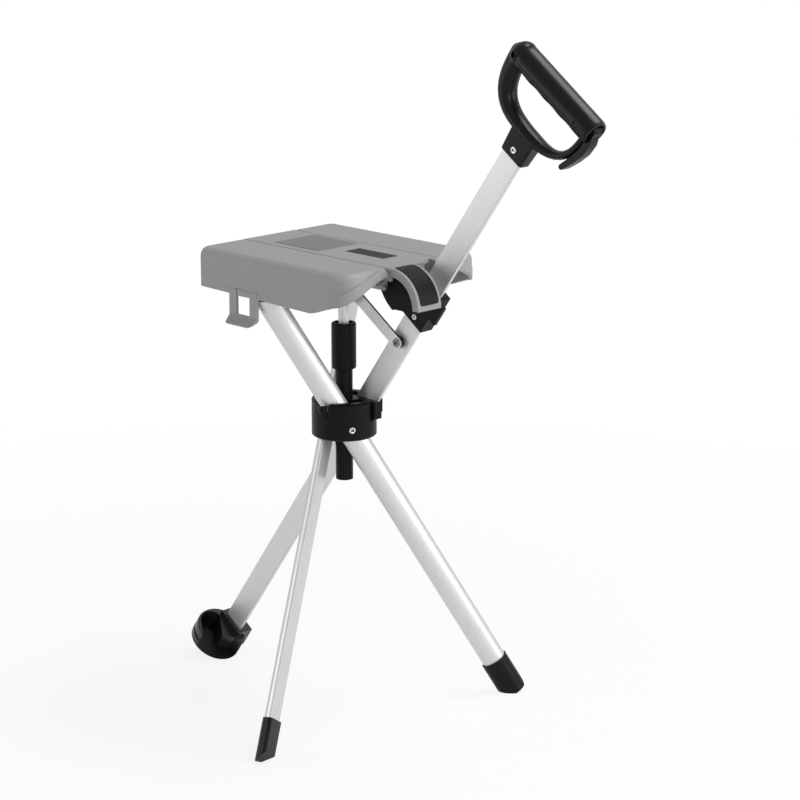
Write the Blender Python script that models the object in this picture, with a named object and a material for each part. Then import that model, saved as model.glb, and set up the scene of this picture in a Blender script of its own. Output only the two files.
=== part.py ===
"""A folding walking stick seat: a three-legged stool that closes into a cane.

The object stands open on the plane z = 0 with the hub's axis on z. Sizes are in metres.
The stick leans towards +x, and the seat's long middle strip runs along x.
"""
import math

import bmesh
import bpy
from mathutils import Matrix, Vector

for leftover in list(bpy.data.objects):
    bpy.data.objects.remove(leftover, do_unlink=True)

# Clearances
FIT_GAP = 0.0003
SWING_GAP = 0.0006
CUT_PAST = 0.01
JOIN_LAP = 0.001
LARGE = 0.2

# Tripod stance
HUB_HEIGHT = 0.3075
SHAFT_TILT = math.radians(35.9)
LEG_TILT = math.radians(30.7)
RIGHT_LEG_AZIMUTH = math.radians(241.0)
FRONT_LEG_AZIMUTH = math.radians(115.0)

# D-section tube of the stick and both legs
TUBE_WIDTH = 0.026
TUBE_DEPTH = 0.011
TUBE_WALL = 0.0015
TUBE_CORNER = 0.0016
CROWN_STEPS = 12

# Guide that the centre rod slides in
ROD_RADIUS = 0.0056
ROD_LENGTH = 0.118
GUIDE_PLAY = 0.0022
GUIDE_WALL = 0.0012
GUIDE_TOP = 0.1045
GUIDE_BOTTOM = -0.0595
NOSE_SWELL = 0.0022
NOSE_LENGTH = 0.012
COLLAR_RADIUS = 0.0128
COLLAR_BOTTOM = 0.0585
COLLAR_LIP = 0.002
COLLAR_CHAMFER = 0.001

# Hub ring
HUB_WALL = 0.0086
HUB_BELOW = 0.0115
HUB_ABOVE = 0.0275
HUB_CHAMFER = 0.0012
HUB_GUARD = 0.0026
GUARD_START = 0.01
GUARD_EASE = 0.009
PANEL_BOTTOM = 0.0075
PANEL_HALF_ANGLE = math.radians(40.0)
PANEL_RELIEF = 0.0014
SHAFT_PANEL_RELIEF = 0.0045
PIVOT_RADIUS = 0.0025
SCREW_HEAD_RADIUS = 0.0042
SCREW_HEAD_HEIGHT = 0.0022
BUSH_WALL = 0.0014

# Boots and caps of the two legs
BOOT_WALL = 0.0016
BOOT_HEIGHT = 0.044
BOOT_SOLE = 0.012
BOOT_CHAMFER = 0.008
LEG_ABOVE_HUB = 0.1625
CAP_SHANK = 0.018
CAP_HEAD = 0.0022

# Cane tip
TIP_WALL = 0.0019
TIP_TREAD_RADIUS = 0.0135
TIP_RIM_HEIGHT = 0.019
TIP_EDGE = 0.0008
TIP_GROOVE = 0.0012
TIP_SOCKET_WALL = 0.0042
TIP_SOCKET_HEIGHT = 0.026
TIP_SOCKET_FLOOR = 0.006
POCKET_REACH = 0.05

# Handle
HANDLE_SOCKET_BOTTOM = 0.37
HANDLE_SOCKET_HEIGHT = 0.028
HANDLE_SOCKET_SIDE = 0.0024
HANDLE_SOCKET_FACE = 0.0014
HANDLE_SOCKET_FLARE = 0.0012
HANDLE_SOCKET_CORNER = 0.003
SHAFT_IN_HANDLE = 0.024
GRIP_LEVEL = 0.0845
GRIP_RADIUS = 0.0138
GRIP_LEFT = -0.0535
GRIP_RIGHT = 0.062
GRIP_ROUND = 0.009
GRIP_CHAMFER = 0.0012
GRIP_STATIONS = 30
WAVE_LENGTH = 0.0235
WAVE_DEPTH = 0.0012
WAVE_COUNT = 4
BOW_LEFT = -0.053
BOW_RIGHT = 0.0545
BOW_DROP = 0.055
BOW_SQUARENESS = 3.0
BOW_DEPTH = 0.0098
BOW_RIGHT_DEPTH = 0.0062
BOW_THICK = 0.0105
BOW_THIN = 0.006
BOW_SWELL = 1.3
BOW_RIGHT_THIN = 0.0038
BOW_STATIONS = 28
BOW_DOME_STEPS = 5
HANDLE_SIDES = 16
HOOK_PIVOT = 0.0585
HOOK_THICKNESS = 0.0055
HOOK_EYE_RADIUS = 0.0062
HOOK_PIN_RADIUS = 0.002
HOOK_RECESS_RADIUS = 0.0106
HOOK_ARM_TOP = 0.0044
HOOK_ARM_TIP = 0.0028
HANDLE_SCREW_RADIUS = 0.0015
HANDLE_SCREW_HEAD = 0.003
HANDLE_SCREW_INSET = 0.0023
SOCKET_SCREW_HEAD = 0.0036
SMALL_HEAD = 0.0016
SCREW_REACH = 0.0015

# Link between the stick and the rod head
LINK_PIVOT = 0.1172
LINK_LENGTH = 0.0833
LINK_WIDTH = 0.013
LINK_THICKNESS = 0.0025
LINK_HEAD_HEIGHT = 0.0011
LINK_HEAD_RADIUS = 0.0046
SPACER_RADIUS = 0.0056
ROD_HEAD_RADIUS = 0.0078
ROD_HEAD_HALF = 0.0072
ROD_HEAD_DROP = 0.014
ROD_SOCKET_DEPTH = 0.0055
PIN_RADIUS = 0.0024
PIN_HEAD_RADIUS = 0.004
PIN_HEAD_HEIGHT = 0.0012

# Seat bracket on the stick
BRACKET_CENTRE = 0.1785
BRACKET_RADIUS = 0.0315
BRACKET_WALL = 0.0023
BRACKET_SIDE = 0.003
BRACKET_LOW = 0.147
BRACKET_HIGH = 0.192
BRACKET_CHORD = 0.0058
BRACKET_LOBE = math.radians(8.0)
BRACKET_WEB_START = 0.0105
BRACKET_WEB_END = 0.027
BRACKET_WEB_LOW = 0.169
BRACKET_SCREW_LEVELS = (0.1536, 0.186)
BRACKET_SCREW_RADIUS = 0.0016
BRACKET_SCREW_HEAD = 0.0032
BRACKET_SCREW_SINK = 0.0012

# Seat
STRIP_HALF_WIDTH = 0.036
STRIP_LEFT = -0.115
STRIP_PLATE = 0.004
STRIP_SKIRT = 0.013
STRIP_WALL = 0.003
STRIP_EDGE = 0.005
SEAM_EASE = 0.0011
LUG_THICKNESS = 0.006
LUG_RADIUS = 0.007
ARCH_THICKNESS = 0.0035
SADDLE_HEIGHT = 0.003
ARCH_LAP = math.radians(3.5)
ARCH_FAR_EDGE = -0.004
ARCH_STEPS = 12
SADDLE_WIDTH = 0.006
NOTCH_DEPTH = 0.008
INLAY_THICKNESS = 0.0006
INLAY_CENTRE = (0.0366, 0.0038)
INLAY_SIZE = (0.056, 0.021)
INLAY_RECESS = 0.0012
ARCH_INLAY_MARGIN = 0.004
ARCH_INLAY_ANGLES = (math.radians(10.0), math.radians(72.0))

# Wings and their hinges
HINGE_DROP = 0.0185
HINGE_RADIUS = 0.002
HINGE_ROD_END = 0.002
KNUCKLE_RADIUS = 0.0045
KNUCKLE_LENGTH = 0.016
STRIP_KNUCKLES = (-0.1, -0.012, 0.088)
WING_KNUCKLES = (-0.06, 0.04)
SEAM_GAP = 0.0012
SEAM_NOTCH = (0.005, 0.003)
WING_WIDTH = 0.06
WING_LEFT = -0.1145
WING_RIGHT = 0.103
WING_WALL = 0.003
WING_RIM = 0.04
WING_RIM_FALL = 0.0043
WING_OUTER_FILLET = 0.01
WING_LEFT_FILLET = 0.005
WING_RIGHT_CORNER = 0.026
WING_LEFT_CORNER = 0.008
WING_SWEEP_START = 0.049
WING_SWEEP_END = 0.089
WING_SWEEP_SEAM = 0.0105
WING_SWEEP_OUTER = -0.0165
WING_SWEEP_BOW = 1.4
WING_LEFT_RIM = 0.028
SEAM_WALL = 0.0125
CLIP_CENTRE = -0.045
CLIP_WIDTH = 0.041
CLIP_WINDOW = (0.02, 0.0195)
CLIP_DROP = 0.03
CLIP_LIP = 0.0065
CLIP_BEND = 0.009
CLIP_ROOT = 0.006
CLIP_PROUD = 0.0005
CLIP_CORNERS = (0.004, 0.01)
CLIP_SLIT = (0.0014, 0.0072)
CATCH_SIZE = (0.016, 0.0045)
CATCH_LEVELS = (0.004, 0.007, 0.014)

# Derived places
LEG_FLAT = COLLAR_RADIUS + SWING_GAP
LEG_OFFSET = LEG_FLAT + TUBE_DEPTH / 2
HUB_RADIUS = LEG_OFFSET + TUBE_DEPTH / 2 + SWING_GAP + HUB_WALL
TIP_RADIUS = LEG_OFFSET + TUBE_DEPTH / 2 + BOOT_WALL + SWING_GAP + TIP_WALL
GUIDE_BORE = ROD_RADIUS + GUIDE_PLAY
GUIDE_RADIUS = GUIDE_BORE + GUIDE_WALL
LEG_LENGTH = HUB_HEIGHT / math.cos(LEG_TILT)
SHAFT_LENGTH = HUB_HEIGHT / math.cos(SHAFT_TILT)
TIP_PAD_TOP = -(HUB_HEIGHT - TIP_RADIUS * math.sin(SHAFT_TILT)) / math.cos(SHAFT_TILT) + TIP_EDGE
LINK_RISE = math.sqrt(LINK_LENGTH ** 2 - (LINK_PIVOT * math.sin(SHAFT_TILT)) ** 2)
SEAT_PIVOT = HUB_HEIGHT + LINK_PIVOT * math.cos(SHAFT_TILT) + LINK_RISE
LINK_LEAN = math.asin(LINK_PIVOT * math.sin(SHAFT_TILT) / LINK_LENGTH)
LINK_NEAR = ROD_HEAD_HALF + FIT_GAP
LINK_FAR = LINK_NEAR + LINK_THICKNESS
LUG_FAR = -ROD_HEAD_HALF - FIT_GAP
LUG_NEAR = LUG_FAR - LUG_THICKNESS
BRACKET_FAR = LUG_NEAR - PIN_HEAD_HEIGHT - FIT_GAP - SWING_GAP
BRACKET_NEAR = -STRIP_HALF_WIDTH + KNUCKLE_RADIUS + SWING_GAP
ARCH_CENTRE_X = BRACKET_CENTRE * math.sin(SHAFT_TILT)
ARCH_CENTRE_Z = HUB_HEIGHT + BRACKET_CENTRE * math.cos(SHAFT_TILT) - SEAT_PIVOT
ARCH_RADIUS = BRACKET_RADIUS + SADDLE_HEIGHT + ARCH_THICKNESS
SEAT_RISE = ARCH_CENTRE_Z + ARCH_RADIUS
HINGE_HEIGHT = SEAT_RISE - HINGE_DROP
HINGE_Y = STRIP_HALF_WIDTH + SEAM_GAP / 2
UP = Vector((0.0, 0.0, 1.0))

PLACES = {
    "X": lambda a, b, along: (along, a, b),
    "Y": lambda a, b, along: (a, along, b),
    "Z": lambda a, b, along: (a, b, along),
}


def finish(name, colour, roughness, metallic):
    """One Principled material."""
    material = bpy.data.materials.new(name)
    material.use_nodes = True
    shader = material.node_tree.nodes["Principled BSDF"]
    shader.inputs["Base Color"].default_value = (*colour, 1.0)
    shader.inputs["Roughness"].default_value = roughness
    shader.inputs["Metallic"].default_value = metallic
    return material


ALUMINIUM = ((0.72, 0.72, 0.73), 0.38, 0.9)
BLACK_PLASTIC = ((0.015, 0.015, 0.016), 0.5, 0.0)
GREY_PLASTIC = ((0.31, 0.32, 0.33), 0.55, 0.0)
RUBBER = ((0.012, 0.012, 0.012), 0.8, 0.0)
STEEL = ((0.62, 0.62, 0.62), 0.3, 1.0)
DARK_PANEL = ((0.02, 0.02, 0.022), 0.35, 0.0)


def frame(name, location, rotation=(0.0, 0.0, 0.0)):
    """An empty on a joint's axis, which carries the pieces that turn about it."""
    empty = bpy.data.objects.new(name, None)
    empty.location = location
    empty.rotation_euler = rotation
    empty.empty_display_size = 0.02
    bpy.context.scene.collection.objects.link(empty)
    return empty


def part(name, body, look, carrier):
    """Turn a bmesh into a named object on its carrier, with a material of its own."""
    bmesh.ops.remove_doubles(body, verts=body.verts, dist=1e-7)
    bmesh.ops.recalc_face_normals(body, faces=body.faces)
    mesh = bpy.data.meshes.new(name)
    body.to_mesh(mesh)
    body.free()
    mesh.shade_smooth()
    mesh.set_sharp_from_angle(angle=math.radians(32.0))
    mesh.materials.append(finish(name, *look))
    piece = bpy.data.objects.new(name, mesh)
    piece.parent = carrier
    bpy.context.scene.collection.objects.link(piece)
    return piece


def combine(body, tool, operation):
    """Boolean of two bmeshes, which are used up."""
    holders = []
    for source in (body, tool):
        bmesh.ops.recalc_face_normals(source, faces=source.faces)
        mesh = bpy.data.meshes.new("boolean")
        source.to_mesh(mesh)
        source.free()
        holder = bpy.data.objects.new("boolean", mesh)
        bpy.context.scene.collection.objects.link(holder)
        holders.append(holder)
    modifier = holders[0].modifiers.new("boolean", "BOOLEAN")
    modifier.operation = operation
    modifier.object = holders[1]
    bpy.context.view_layer.update()
    result = bmesh.new()
    result.from_object(holders[0], bpy.context.evaluated_depsgraph_get())
    for holder in holders:
        mesh = holder.data
        bpy.data.objects.remove(holder, do_unlink=True)
        bpy.data.meshes.remove(mesh)
    return result


def cut(body, *tools):
    """The body with each tool taken away."""
    for tool in tools:
        body = combine(body, tool, "DIFFERENCE")
    return body


def fuse(body, *tools):
    """The body with each tool joined on."""
    for tool in tools:
        body = combine(body, tool, "UNION")
    return body


def loft(rings, closed=False):
    """Skin through rings of points, capped at both ends or closed into a ring."""
    body = bmesh.new()
    loops = [[body.verts.new(point) for point in ring] for ring in rings]
    count = len(loops[0])
    pairs = list(zip(loops, loops[1:]))
    if closed:
        pairs.append((loops[-1], loops[0]))
    else:
        body.faces.new(loops[0])
        body.faces.new(loops[-1])
    for first, second in pairs:
        for i in range(count):
            j = (i + 1) % count
            body.faces.new((first[i], first[j], second[j], second[i]))
    bmesh.ops.recalc_face_normals(body, faces=body.faces)
    return body


def prism(outline, low, high, axis="Z"):
    """An outline carried straight along one axis."""
    place = PLACES[axis]
    return loft([[place(a, b, level) for a, b in outline] for level in (low, high)])


def tube(outer, inner, low, high):
    """A straight hollow section along z."""
    rings = [(outer, low), (outer, high), (inner, high), (inner, low)]
    return loft([[(a, b, level) for a, b in ring] for ring, level in rings], closed=True)


def turned(profile, axis="Z", centre=(0.0, 0.0), segments=28):
    """A closed profile of (radius, height) points turned about an axis."""
    place = PLACES[axis]
    body = bmesh.new()
    rings = []
    for radius, height in profile:
        if radius == 0.0:
            rings.append([body.verts.new(place(centre[0], centre[1], height))])
            continue
        ring = []
        for step in range(segments):
            angle = 2 * math.pi * step / segments
            a = centre[0] + radius * math.cos(angle)
            b = centre[1] + radius * math.sin(angle)
            ring.append(body.verts.new(place(a, b, height)))
        rings.append(ring)
    for first, second in zip(rings, rings[1:] + rings[:1]):
        for i in range(segments):
            j = (i + 1) % segments
            corners = [first[i % len(first)], first[j % len(first)]]
            corners += [second[j % len(second)], second[i % len(second)]]
            face = list(dict.fromkeys(corners))
            if len(face) > 2:
                body.faces.new(face)
    bmesh.ops.recalc_face_normals(body, faces=body.faces)
    return body


def cylinder(radius, low, high, axis="Z", centre=(0.0, 0.0), segments=20):
    """A plain round bar."""
    return turned([(0.0, low), (radius, low), (radius, high), (0.0, high)], axis, centre, segments)


def block(x, y, z):
    """A box between two x values, two y values and two z values."""
    outline = [(x[0], y[0]), (x[1], y[0]), (x[1], y[1]), (x[0], y[1])]
    return prism(outline, z[0], z[1])


def arc(centre, radius, start, end, steps):
    """Points on an arc, both ends included."""
    points = []
    for step in range(steps + 1):
        angle = start + (end - start) * step / steps
        points.append((centre[0] + radius * math.cos(angle), centre[1] + radius * math.sin(angle)))
    return points


def trim(body, point, normal):
    """Cut off all that lies on the normal's side of a plane, and close the cut."""
    geometry = body.verts[:] + body.edges[:] + body.faces[:]
    cut_off = bmesh.ops.bisect_plane(
        body, geom=geometry, plane_co=point, plane_no=normal, clear_outer=True, dist=1e-7)
    edges = [item for item in cut_off["geom_cut"] if isinstance(item, bmesh.types.BMEdge)]
    bmesh.ops.contextual_create(body, geom=edges)
    body.normal_update()
    return body


def half_space(point, normal):
    """A large block on the normal's side of a plane."""
    body = block((-LARGE, LARGE), (-LARGE, LARGE), (0.0, LARGE))
    turn = normal.to_track_quat("Z", "Y").to_matrix().to_4x4()
    body.transform(Matrix.Translation(point) @ turn)
    body.normal_update()
    return body


def spun(body, azimuth):
    """The body turned about z."""
    body.transform(Matrix.Rotation(azimuth, 4, "Z"))
    body.normal_update()
    return body


def moved(body, offset):
    """The body shifted."""
    body.transform(Matrix.Translation(offset))
    body.normal_update()
    return body


def convex_outline(points):
    """The convex outline round a set of points."""
    ordered = sorted(points)
    sides = []
    for run in (ordered, ordered[::-1]):
        side = []
        for point in run:
            while len(side) > 1:
                (ax, ay), (bx, by) = side[-2:]
                if (bx - ax) * (point[1] - ay) - (by - ay) * (point[0] - ax) > 0:
                    break
                side.pop()
            side.append(point)
        sides += side[:-1]
    return sides


def d_outline(grow=0.0):
    """The tube's D: a flat inner face with eased corners and a crowned outer face."""
    half = TUBE_WIDTH / 2 + grow
    flat = -TUBE_DEPTH / 2 - grow
    corner = min(TUBE_CORNER + grow, TUBE_CORNER) if grow > -TUBE_CORNER else TUBE_CORNER / 4
    crown = TUBE_DEPTH + 2 * grow - corner
    points = []
    for step in range(CROWN_STEPS + 1):
        angle = math.pi * step / CROWN_STEPS
        points.append((half * math.cos(angle), flat + corner + crown * math.sin(angle)))
    points.append((-half + 0.3 * corner, flat + 0.3 * corner))
    points.append((-half + corner, flat))
    points.append((half - corner, flat))
    points.append((half - 0.3 * corner, flat + 0.3 * corner))
    return points


def leg_frame(name, azimuth, tilt):
    """The pivot of a tube: x leans with its top, y points out from the hub, z runs along it."""
    out = azimuth + math.pi / 2
    location = (LEG_OFFSET * math.cos(out), LEG_OFFSET * math.sin(out), HUB_HEIGHT)
    return frame(name, location, (0.0, tilt, azimuth))


def pivot_hole():
    """Hole through a tube for its hub screw."""
    return cylinder(PIVOT_RADIUS + SWING_GAP, -TUBE_DEPTH, TUBE_DEPTH, "Y")


def pivot_bush():
    """Spacer between the tube's walls, round the hub screw."""
    inner = PIVOT_RADIUS + SWING_GAP
    outer = inner + BUSH_WALL
    low = -TUBE_DEPTH / 2 + TUBE_WALL + FIT_GAP
    high = low + TUBE_DEPTH - 2 * TUBE_WALL - 4 * FIT_GAP
    return turned([(inner, low), (outer, low), (outer, high), (inner, high)], "Y", segments=20)


# Hub ring: three tubes swing in slots round the guide's bore
hub_frame = frame("hub_axis", (0.0, 0.0, HUB_HEIGHT))
LEGS = ((0.0, SHAFT_TILT, SHAFT_PANEL_RELIEF), (RIGHT_LEG_AZIMUTH, LEG_TILT, PANEL_RELIEF),
        (FRONT_LEG_AZIMUTH, LEG_TILT, 0.0))


def swing_slot(azimuth, tilt):
    """Room for one tube between upright and its lean."""
    half = TUBE_WIDTH / 2 + SWING_GAP
    waist = half * math.tan(tilt / 2)
    top = HUB_ABOVE + HUB_CHAMFER
    bottom = -HUB_BELOW - HUB_CHAMFER
    outline = [
        (-half, top), (-half, waist), (-half / math.cos(tilt) + bottom * math.tan(tilt), bottom),
        (half, bottom), (half, -waist), (half / math.cos(tilt) + top * math.tan(tilt), top)]
    low = LEG_FLAT - SWING_GAP / 2
    high = LEG_OFFSET + TUBE_DEPTH / 2 + SWING_GAP
    return spun(prism(outline, low, high, "Y"), azimuth)


def hub_panel(azimuth, relief):
    """Raised cover outside one tube."""
    middle = math.pi / 2
    limits = (middle - PANEL_HALF_ANGLE, middle + PANEL_HALF_ANGLE)
    outer = arc((0.0, 0.0), HUB_RADIUS + relief, limits[0], limits[1], 14)
    inner = arc((0.0, 0.0), HUB_RADIUS - HUB_WALL / 3, limits[1], limits[0], 14)
    return spun(prism(outer + inner, PANEL_BOTTOM, HUB_ABOVE - HUB_CHAMFER), azimuth)


def slot_guard(azimuth, tilt):
    """Flat wall outside one tube, on the side that its top leans to."""
    end = TUBE_WIDTH / 2 / math.cos(tilt) + HUB_ABOVE * math.tan(tilt) + HUB_GUARD
    top = HUB_ABOVE - HUB_CHAMFER
    outline = [
        (GUARD_START, PANEL_BOTTOM), (end - 2 * GUARD_EASE, PANEL_BOTTOM),
        (end - GUARD_EASE / 3, PANEL_BOTTOM + GUARD_EASE), (end, top - GUARD_EASE / 3), (end, top),
        (GUARD_START, top)]
    low = LEG_OFFSET + TUBE_DEPTH / 2 + SWING_GAP
    return spun(prism(outline, low - FIT_GAP, low + HUB_GUARD, "Y"), azimuth)


HEAD_SEAT = HUB_RADIUS - SCREW_HEAD_HEIGHT - 2 * FIT_GAP
SCREW_TIP = GUIDE_RADIUS + 4 * FIT_GAP
hub = turned([
    (GUIDE_RADIUS + FIT_GAP, -HUB_BELOW), (HUB_RADIUS - HUB_CHAMFER, -HUB_BELOW),
    (HUB_RADIUS, -HUB_BELOW + HUB_CHAMFER), (HUB_RADIUS, HUB_ABOVE - HUB_CHAMFER),
    (HUB_RADIUS - HUB_CHAMFER, HUB_ABOVE), (GUIDE_RADIUS + FIT_GAP, HUB_ABOVE)], segments=60)
screws = []
for azimuth, tilt, relief in LEGS:
    hub = fuse(hub, slot_guard(azimuth, tilt))
    if relief > 0.0:
        hub = fuse(hub, hub_panel(azimuth, relief))
for azimuth, tilt, relief in LEGS:
    shank = cylinder(PIVOT_RADIUS + FIT_GAP, SCREW_TIP - FIT_GAP, HUB_RADIUS * 1.2, "Y")
    recess = cylinder(SCREW_HEAD_RADIUS + FIT_GAP, HEAD_SEAT, HUB_RADIUS * 1.2, "Y")
    hub = cut(hub, swing_slot(azimuth, tilt), spun(shank, azimuth), spun(recess, azimuth))
    head_low = HEAD_SEAT + FIT_GAP
    head_high = head_low + SCREW_HEAD_HEIGHT
    screw = turned([
        (0.0, SCREW_TIP), (PIVOT_RADIUS, SCREW_TIP), (PIVOT_RADIUS, head_low),
        (SCREW_HEAD_RADIUS, head_low), (SCREW_HEAD_RADIUS * 0.8, head_high), (0.0, head_high)],
        "Y", segments=18)
    screws.append(spun(screw, azimuth))
part("hub_ring", hub, BLACK_PLASTIC, hub_frame)
for name, screw in zip(("shaft_hub_screw", "right_leg_hub_screw", "front_leg_hub_screw"), screws):
    part(name, screw, STEEL, hub_frame)

# Guide: a long tube through the hub with a nose below and a sleeve at the top
nose_top = -HUB_BELOW - FIT_GAP
part("guide_tube", turned([
    (GUIDE_BORE, GUIDE_BOTTOM), (GUIDE_RADIUS, GUIDE_BOTTOM),
    (GUIDE_RADIUS, nose_top - NOSE_LENGTH), (GUIDE_RADIUS + NOSE_SWELL, nose_top),
    (GUIDE_RADIUS, nose_top), (GUIDE_RADIUS, GUIDE_TOP), (GUIDE_BORE, GUIDE_TOP)]),
    BLACK_PLASTIC, hub_frame)
collar_inner = GUIDE_RADIUS + FIT_GAP
collar_top = GUIDE_TOP + COLLAR_LIP
part("guide_collar", turned([
    (collar_inner, COLLAR_BOTTOM), (COLLAR_RADIUS - COLLAR_CHAMFER, COLLAR_BOTTOM),
    (COLLAR_RADIUS, COLLAR_BOTTOM + COLLAR_CHAMFER), (COLLAR_RADIUS, collar_top - COLLAR_CHAMFER),
    (COLLAR_RADIUS - COLLAR_CHAMFER, collar_top), (collar_inner, collar_top)], segments=32),
    BLACK_PLASTIC, hub_frame)


# Two legs: tube, rubber boot, top cap and pivot bush
def make_leg(prefix, azimuth):
    """One of the two short legs, about its hub screw."""
    carrier = leg_frame(prefix + "_axis", azimuth, LEG_TILT)
    level = Vector((-math.sin(LEG_TILT), 0.0, math.cos(LEG_TILT)))
    floor = -LEG_LENGTH + BOOT_SOLE
    top = Vector((0.0, 0.0, LEG_ABOVE_HUB))
    tube_top = top - level * CAP_HEAD
    highest = LEG_ABOVE_HUB + TUBE_WIDTH
    body = tube(d_outline(), d_outline(-TUBE_WALL), floor + FIT_GAP, highest)
    bracket_low = min(BRACKET_WEB_LOW, BRACKET_CENTRE - BRACKET_CHORD) - SWING_GAP
    ceiling = Vector((0.0, 0.0, bracket_low))
    body = cut(body, pivot_hole(), half_space(tube_top, level), half_space(ceiling - UP * CAP_HEAD, UP))
    part(prefix + "_tube", body, ALUMINIUM, carrier)
    part(prefix + "_bush", pivot_bush(), BLACK_PLASTIC, carrier)

    wide = d_outline(BOOT_WALL)
    boot_top = -LEG_LENGTH + BOOT_HEIGHT
    boot = prism(wide, TIP_PAD_TOP + 2 * FIT_GAP, boot_top)
    boot = trim(boot, Vector((0.0, 0.0, -LEG_LENGTH)), -level)
    chamfer_at = Vector((0.0, -TUBE_DEPTH / 2 - BOOT_WALL + BOOT_CHAMFER, -LEG_LENGTH))
    boot = trim(boot, chamfer_at, Vector((0.0, -0.78, -0.62)))
    socket = prism(d_outline(FIT_GAP), floor, boot_top + BOOT_SOLE)
    part(prefix + "_boot", cut(boot, socket), RUBBER, carrier)

    shank = prism(d_outline(-TUBE_WALL - FIT_GAP), LEG_ABOVE_HUB - CAP_SHANK, highest)
    head = prism(d_outline(), LEG_ABOVE_HUB - CAP_SHANK, highest)
    head = trim(head, ceiling, UP)
    head = trim(head, top, level)
    under = prism(d_outline(BOOT_WALL), LEG_ABOVE_HUB - 2 * CAP_SHANK, highest)
    under = trim(under, ceiling - UP * (CAP_HEAD - FIT_GAP), UP)
    under = trim(under, tube_top + level * FIT_GAP, level)
    shank = trim(trim(shank, ceiling - UP * FIT_GAP, UP), top - level * FIT_GAP, level)
    cap = fuse(cut(head, under), shank)
    rim_y = -(HINGE_Y + WING_WIDTH - WING_WALL - SWING_GAP)
    across = carrier.matrix_basis.to_quaternion().inverted() @ Vector((0.0, -1.0, 0.0))
    start = carrier.matrix_basis.inverted() @ Vector((0.0, rim_y, HUB_HEIGHT))
    if azimuth == RIGHT_LEG_AZIMUTH:
        cap = trim(cap, start, across)
    part(prefix + "_cap", cap, BLACK_PLASTIC, carrier)


make_leg("right_leg", RIGHT_LEG_AZIMUTH)
make_leg("front_leg", FRONT_LEG_AZIMUTH)

# Main shaft: one long tube from the cane tip to the handle
shaft_frame = leg_frame("shaft_axis", 0.0, SHAFT_TILT)
tread_level = -(HUB_HEIGHT - TIP_TREAD_RADIUS * math.sin(SHAFT_TILT)) / math.cos(SHAFT_TILT)
pad_top = TIP_PAD_TOP
edge_level = pad_top - TIP_EDGE
tip_low = pad_top + FIT_GAP
socket_floor = tip_low + TIP_SOCKET_FLOOR
tip_socket_top = tip_low + TIP_SOCKET_HEIGHT
shaft_top = HANDLE_SOCKET_BOTTOM + SHAFT_IN_HANDLE
shaft = tube(d_outline(), d_outline(-TUBE_WALL), socket_floor + FIT_GAP, shaft_top)
link_hole = cylinder(
    PIVOT_RADIUS + FIT_GAP, -TUBE_DEPTH, 0.0, "Y", (0.0, LINK_PIVOT), 16)
socket_screw_level = HANDLE_SOCKET_BOTTOM + HANDLE_SOCKET_HEIGHT / 3
socket_hole = cylinder(
    HANDLE_SCREW_RADIUS + FIT_GAP, -TUBE_DEPTH, 0.0, "Y", (0.0, socket_screw_level), 14)
shaft = cut(shaft, pivot_hole(), link_hole, socket_hole)
for level in BRACKET_SCREW_LEVELS:
    shaft = cut(shaft, cylinder(
        BRACKET_SCREW_RADIUS + FIT_GAP, -TUBE_DEPTH, 0.0, "Y", (0.0, level), 14))
part("main_shaft_tube", shaft, ALUMINIUM, shaft_frame)
part("shaft_pivot_bush", pivot_bush(), BLACK_PLASTIC, shaft_frame)

# Cane tip: a tread, and a rim with open pockets that the folded boots nest in
tip_centre = (0.0, -LEG_OFFSET)


def boot_pocket(azimuth):
    """The way of a folding boot into the tip."""
    foot = azimuth + math.pi
    along = (
        math.cos(foot) * LEG_TILT * LEG_LENGTH + SHAFT_TILT * SHAFT_LENGTH,
        math.sin(foot) * LEG_TILT * LEG_LENGTH)
    size = math.hypot(*along)
    sweep = (along[0] / size * POCKET_REACH, along[1] / size * POCKET_REACH)
    points = []
    for a, b in d_outline(BOOT_WALL + SWING_GAP):
        out = b + LEG_OFFSET
        x = a * math.cos(azimuth) - out * math.sin(azimuth)
        y = a * math.sin(azimuth) + out * math.cos(azimuth) - LEG_OFFSET
        points += [(x, y), (x + sweep[0], y + sweep[1])]
    return prism(convex_outline(points), pad_top, tip_socket_top + TIP_SOCKET_HEIGHT)


part("cane_tip_pad", turned([
    (0.0, tread_level), (TIP_TREAD_RADIUS, tread_level), (TIP_RADIUS, edge_level),
    (TIP_RADIUS, pad_top), (0.0, pad_top)], "Z", tip_centre, 40), RUBBER, shaft_frame)
rim_top = tip_low + TIP_RIM_HEIGHT
groove_low = tip_low + TIP_RIM_HEIGHT / 3
groove_high = tip_low + TIP_RIM_HEIGHT / 2
tip = turned([
    (0.0, tip_low), (TIP_RADIUS, tip_low), (TIP_RADIUS, groove_low),
    (TIP_RADIUS - TIP_GROOVE, groove_low), (TIP_RADIUS - TIP_GROOVE, groove_high),
    (TIP_RADIUS, groove_high), (TIP_RADIUS, rim_top - TIP_GROOVE),
    (TIP_RADIUS - TIP_GROOVE, rim_top), (0.0, rim_top)], "Z", tip_centre, 40)
tip_half = TUBE_WIDTH / 2 + TIP_SOCKET_WALL
tip_out = TUBE_DEPTH / 2 + TIP_SOCKET_WALL
tip = fuse(tip, block((-tip_half, tip_half), (-tip_out, tip_out), (tip_low, tip_socket_top)))
tip = cut(
    tip, prism(d_outline(FIT_GAP), socket_floor, tip_socket_top + TIP_SOCKET_HEIGHT),
    boot_pocket(RIGHT_LEG_AZIMUTH), boot_pocket(FRONT_LEG_AZIMUTH))
part("cane_tip", tip, BLACK_PLASTIC, shaft_frame)

# Handle: a straight grip on a D-shaped bow, in two half shells, with a hook lever at its open end
grip_s = HANDLE_SOCKET_BOTTOM + GRIP_LEVEL


def eased(t):
    """A smooth step from 0 to 1."""
    t = min(max(t, 0.0), 1.0)
    return t * t * (3 - 2 * t)


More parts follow.
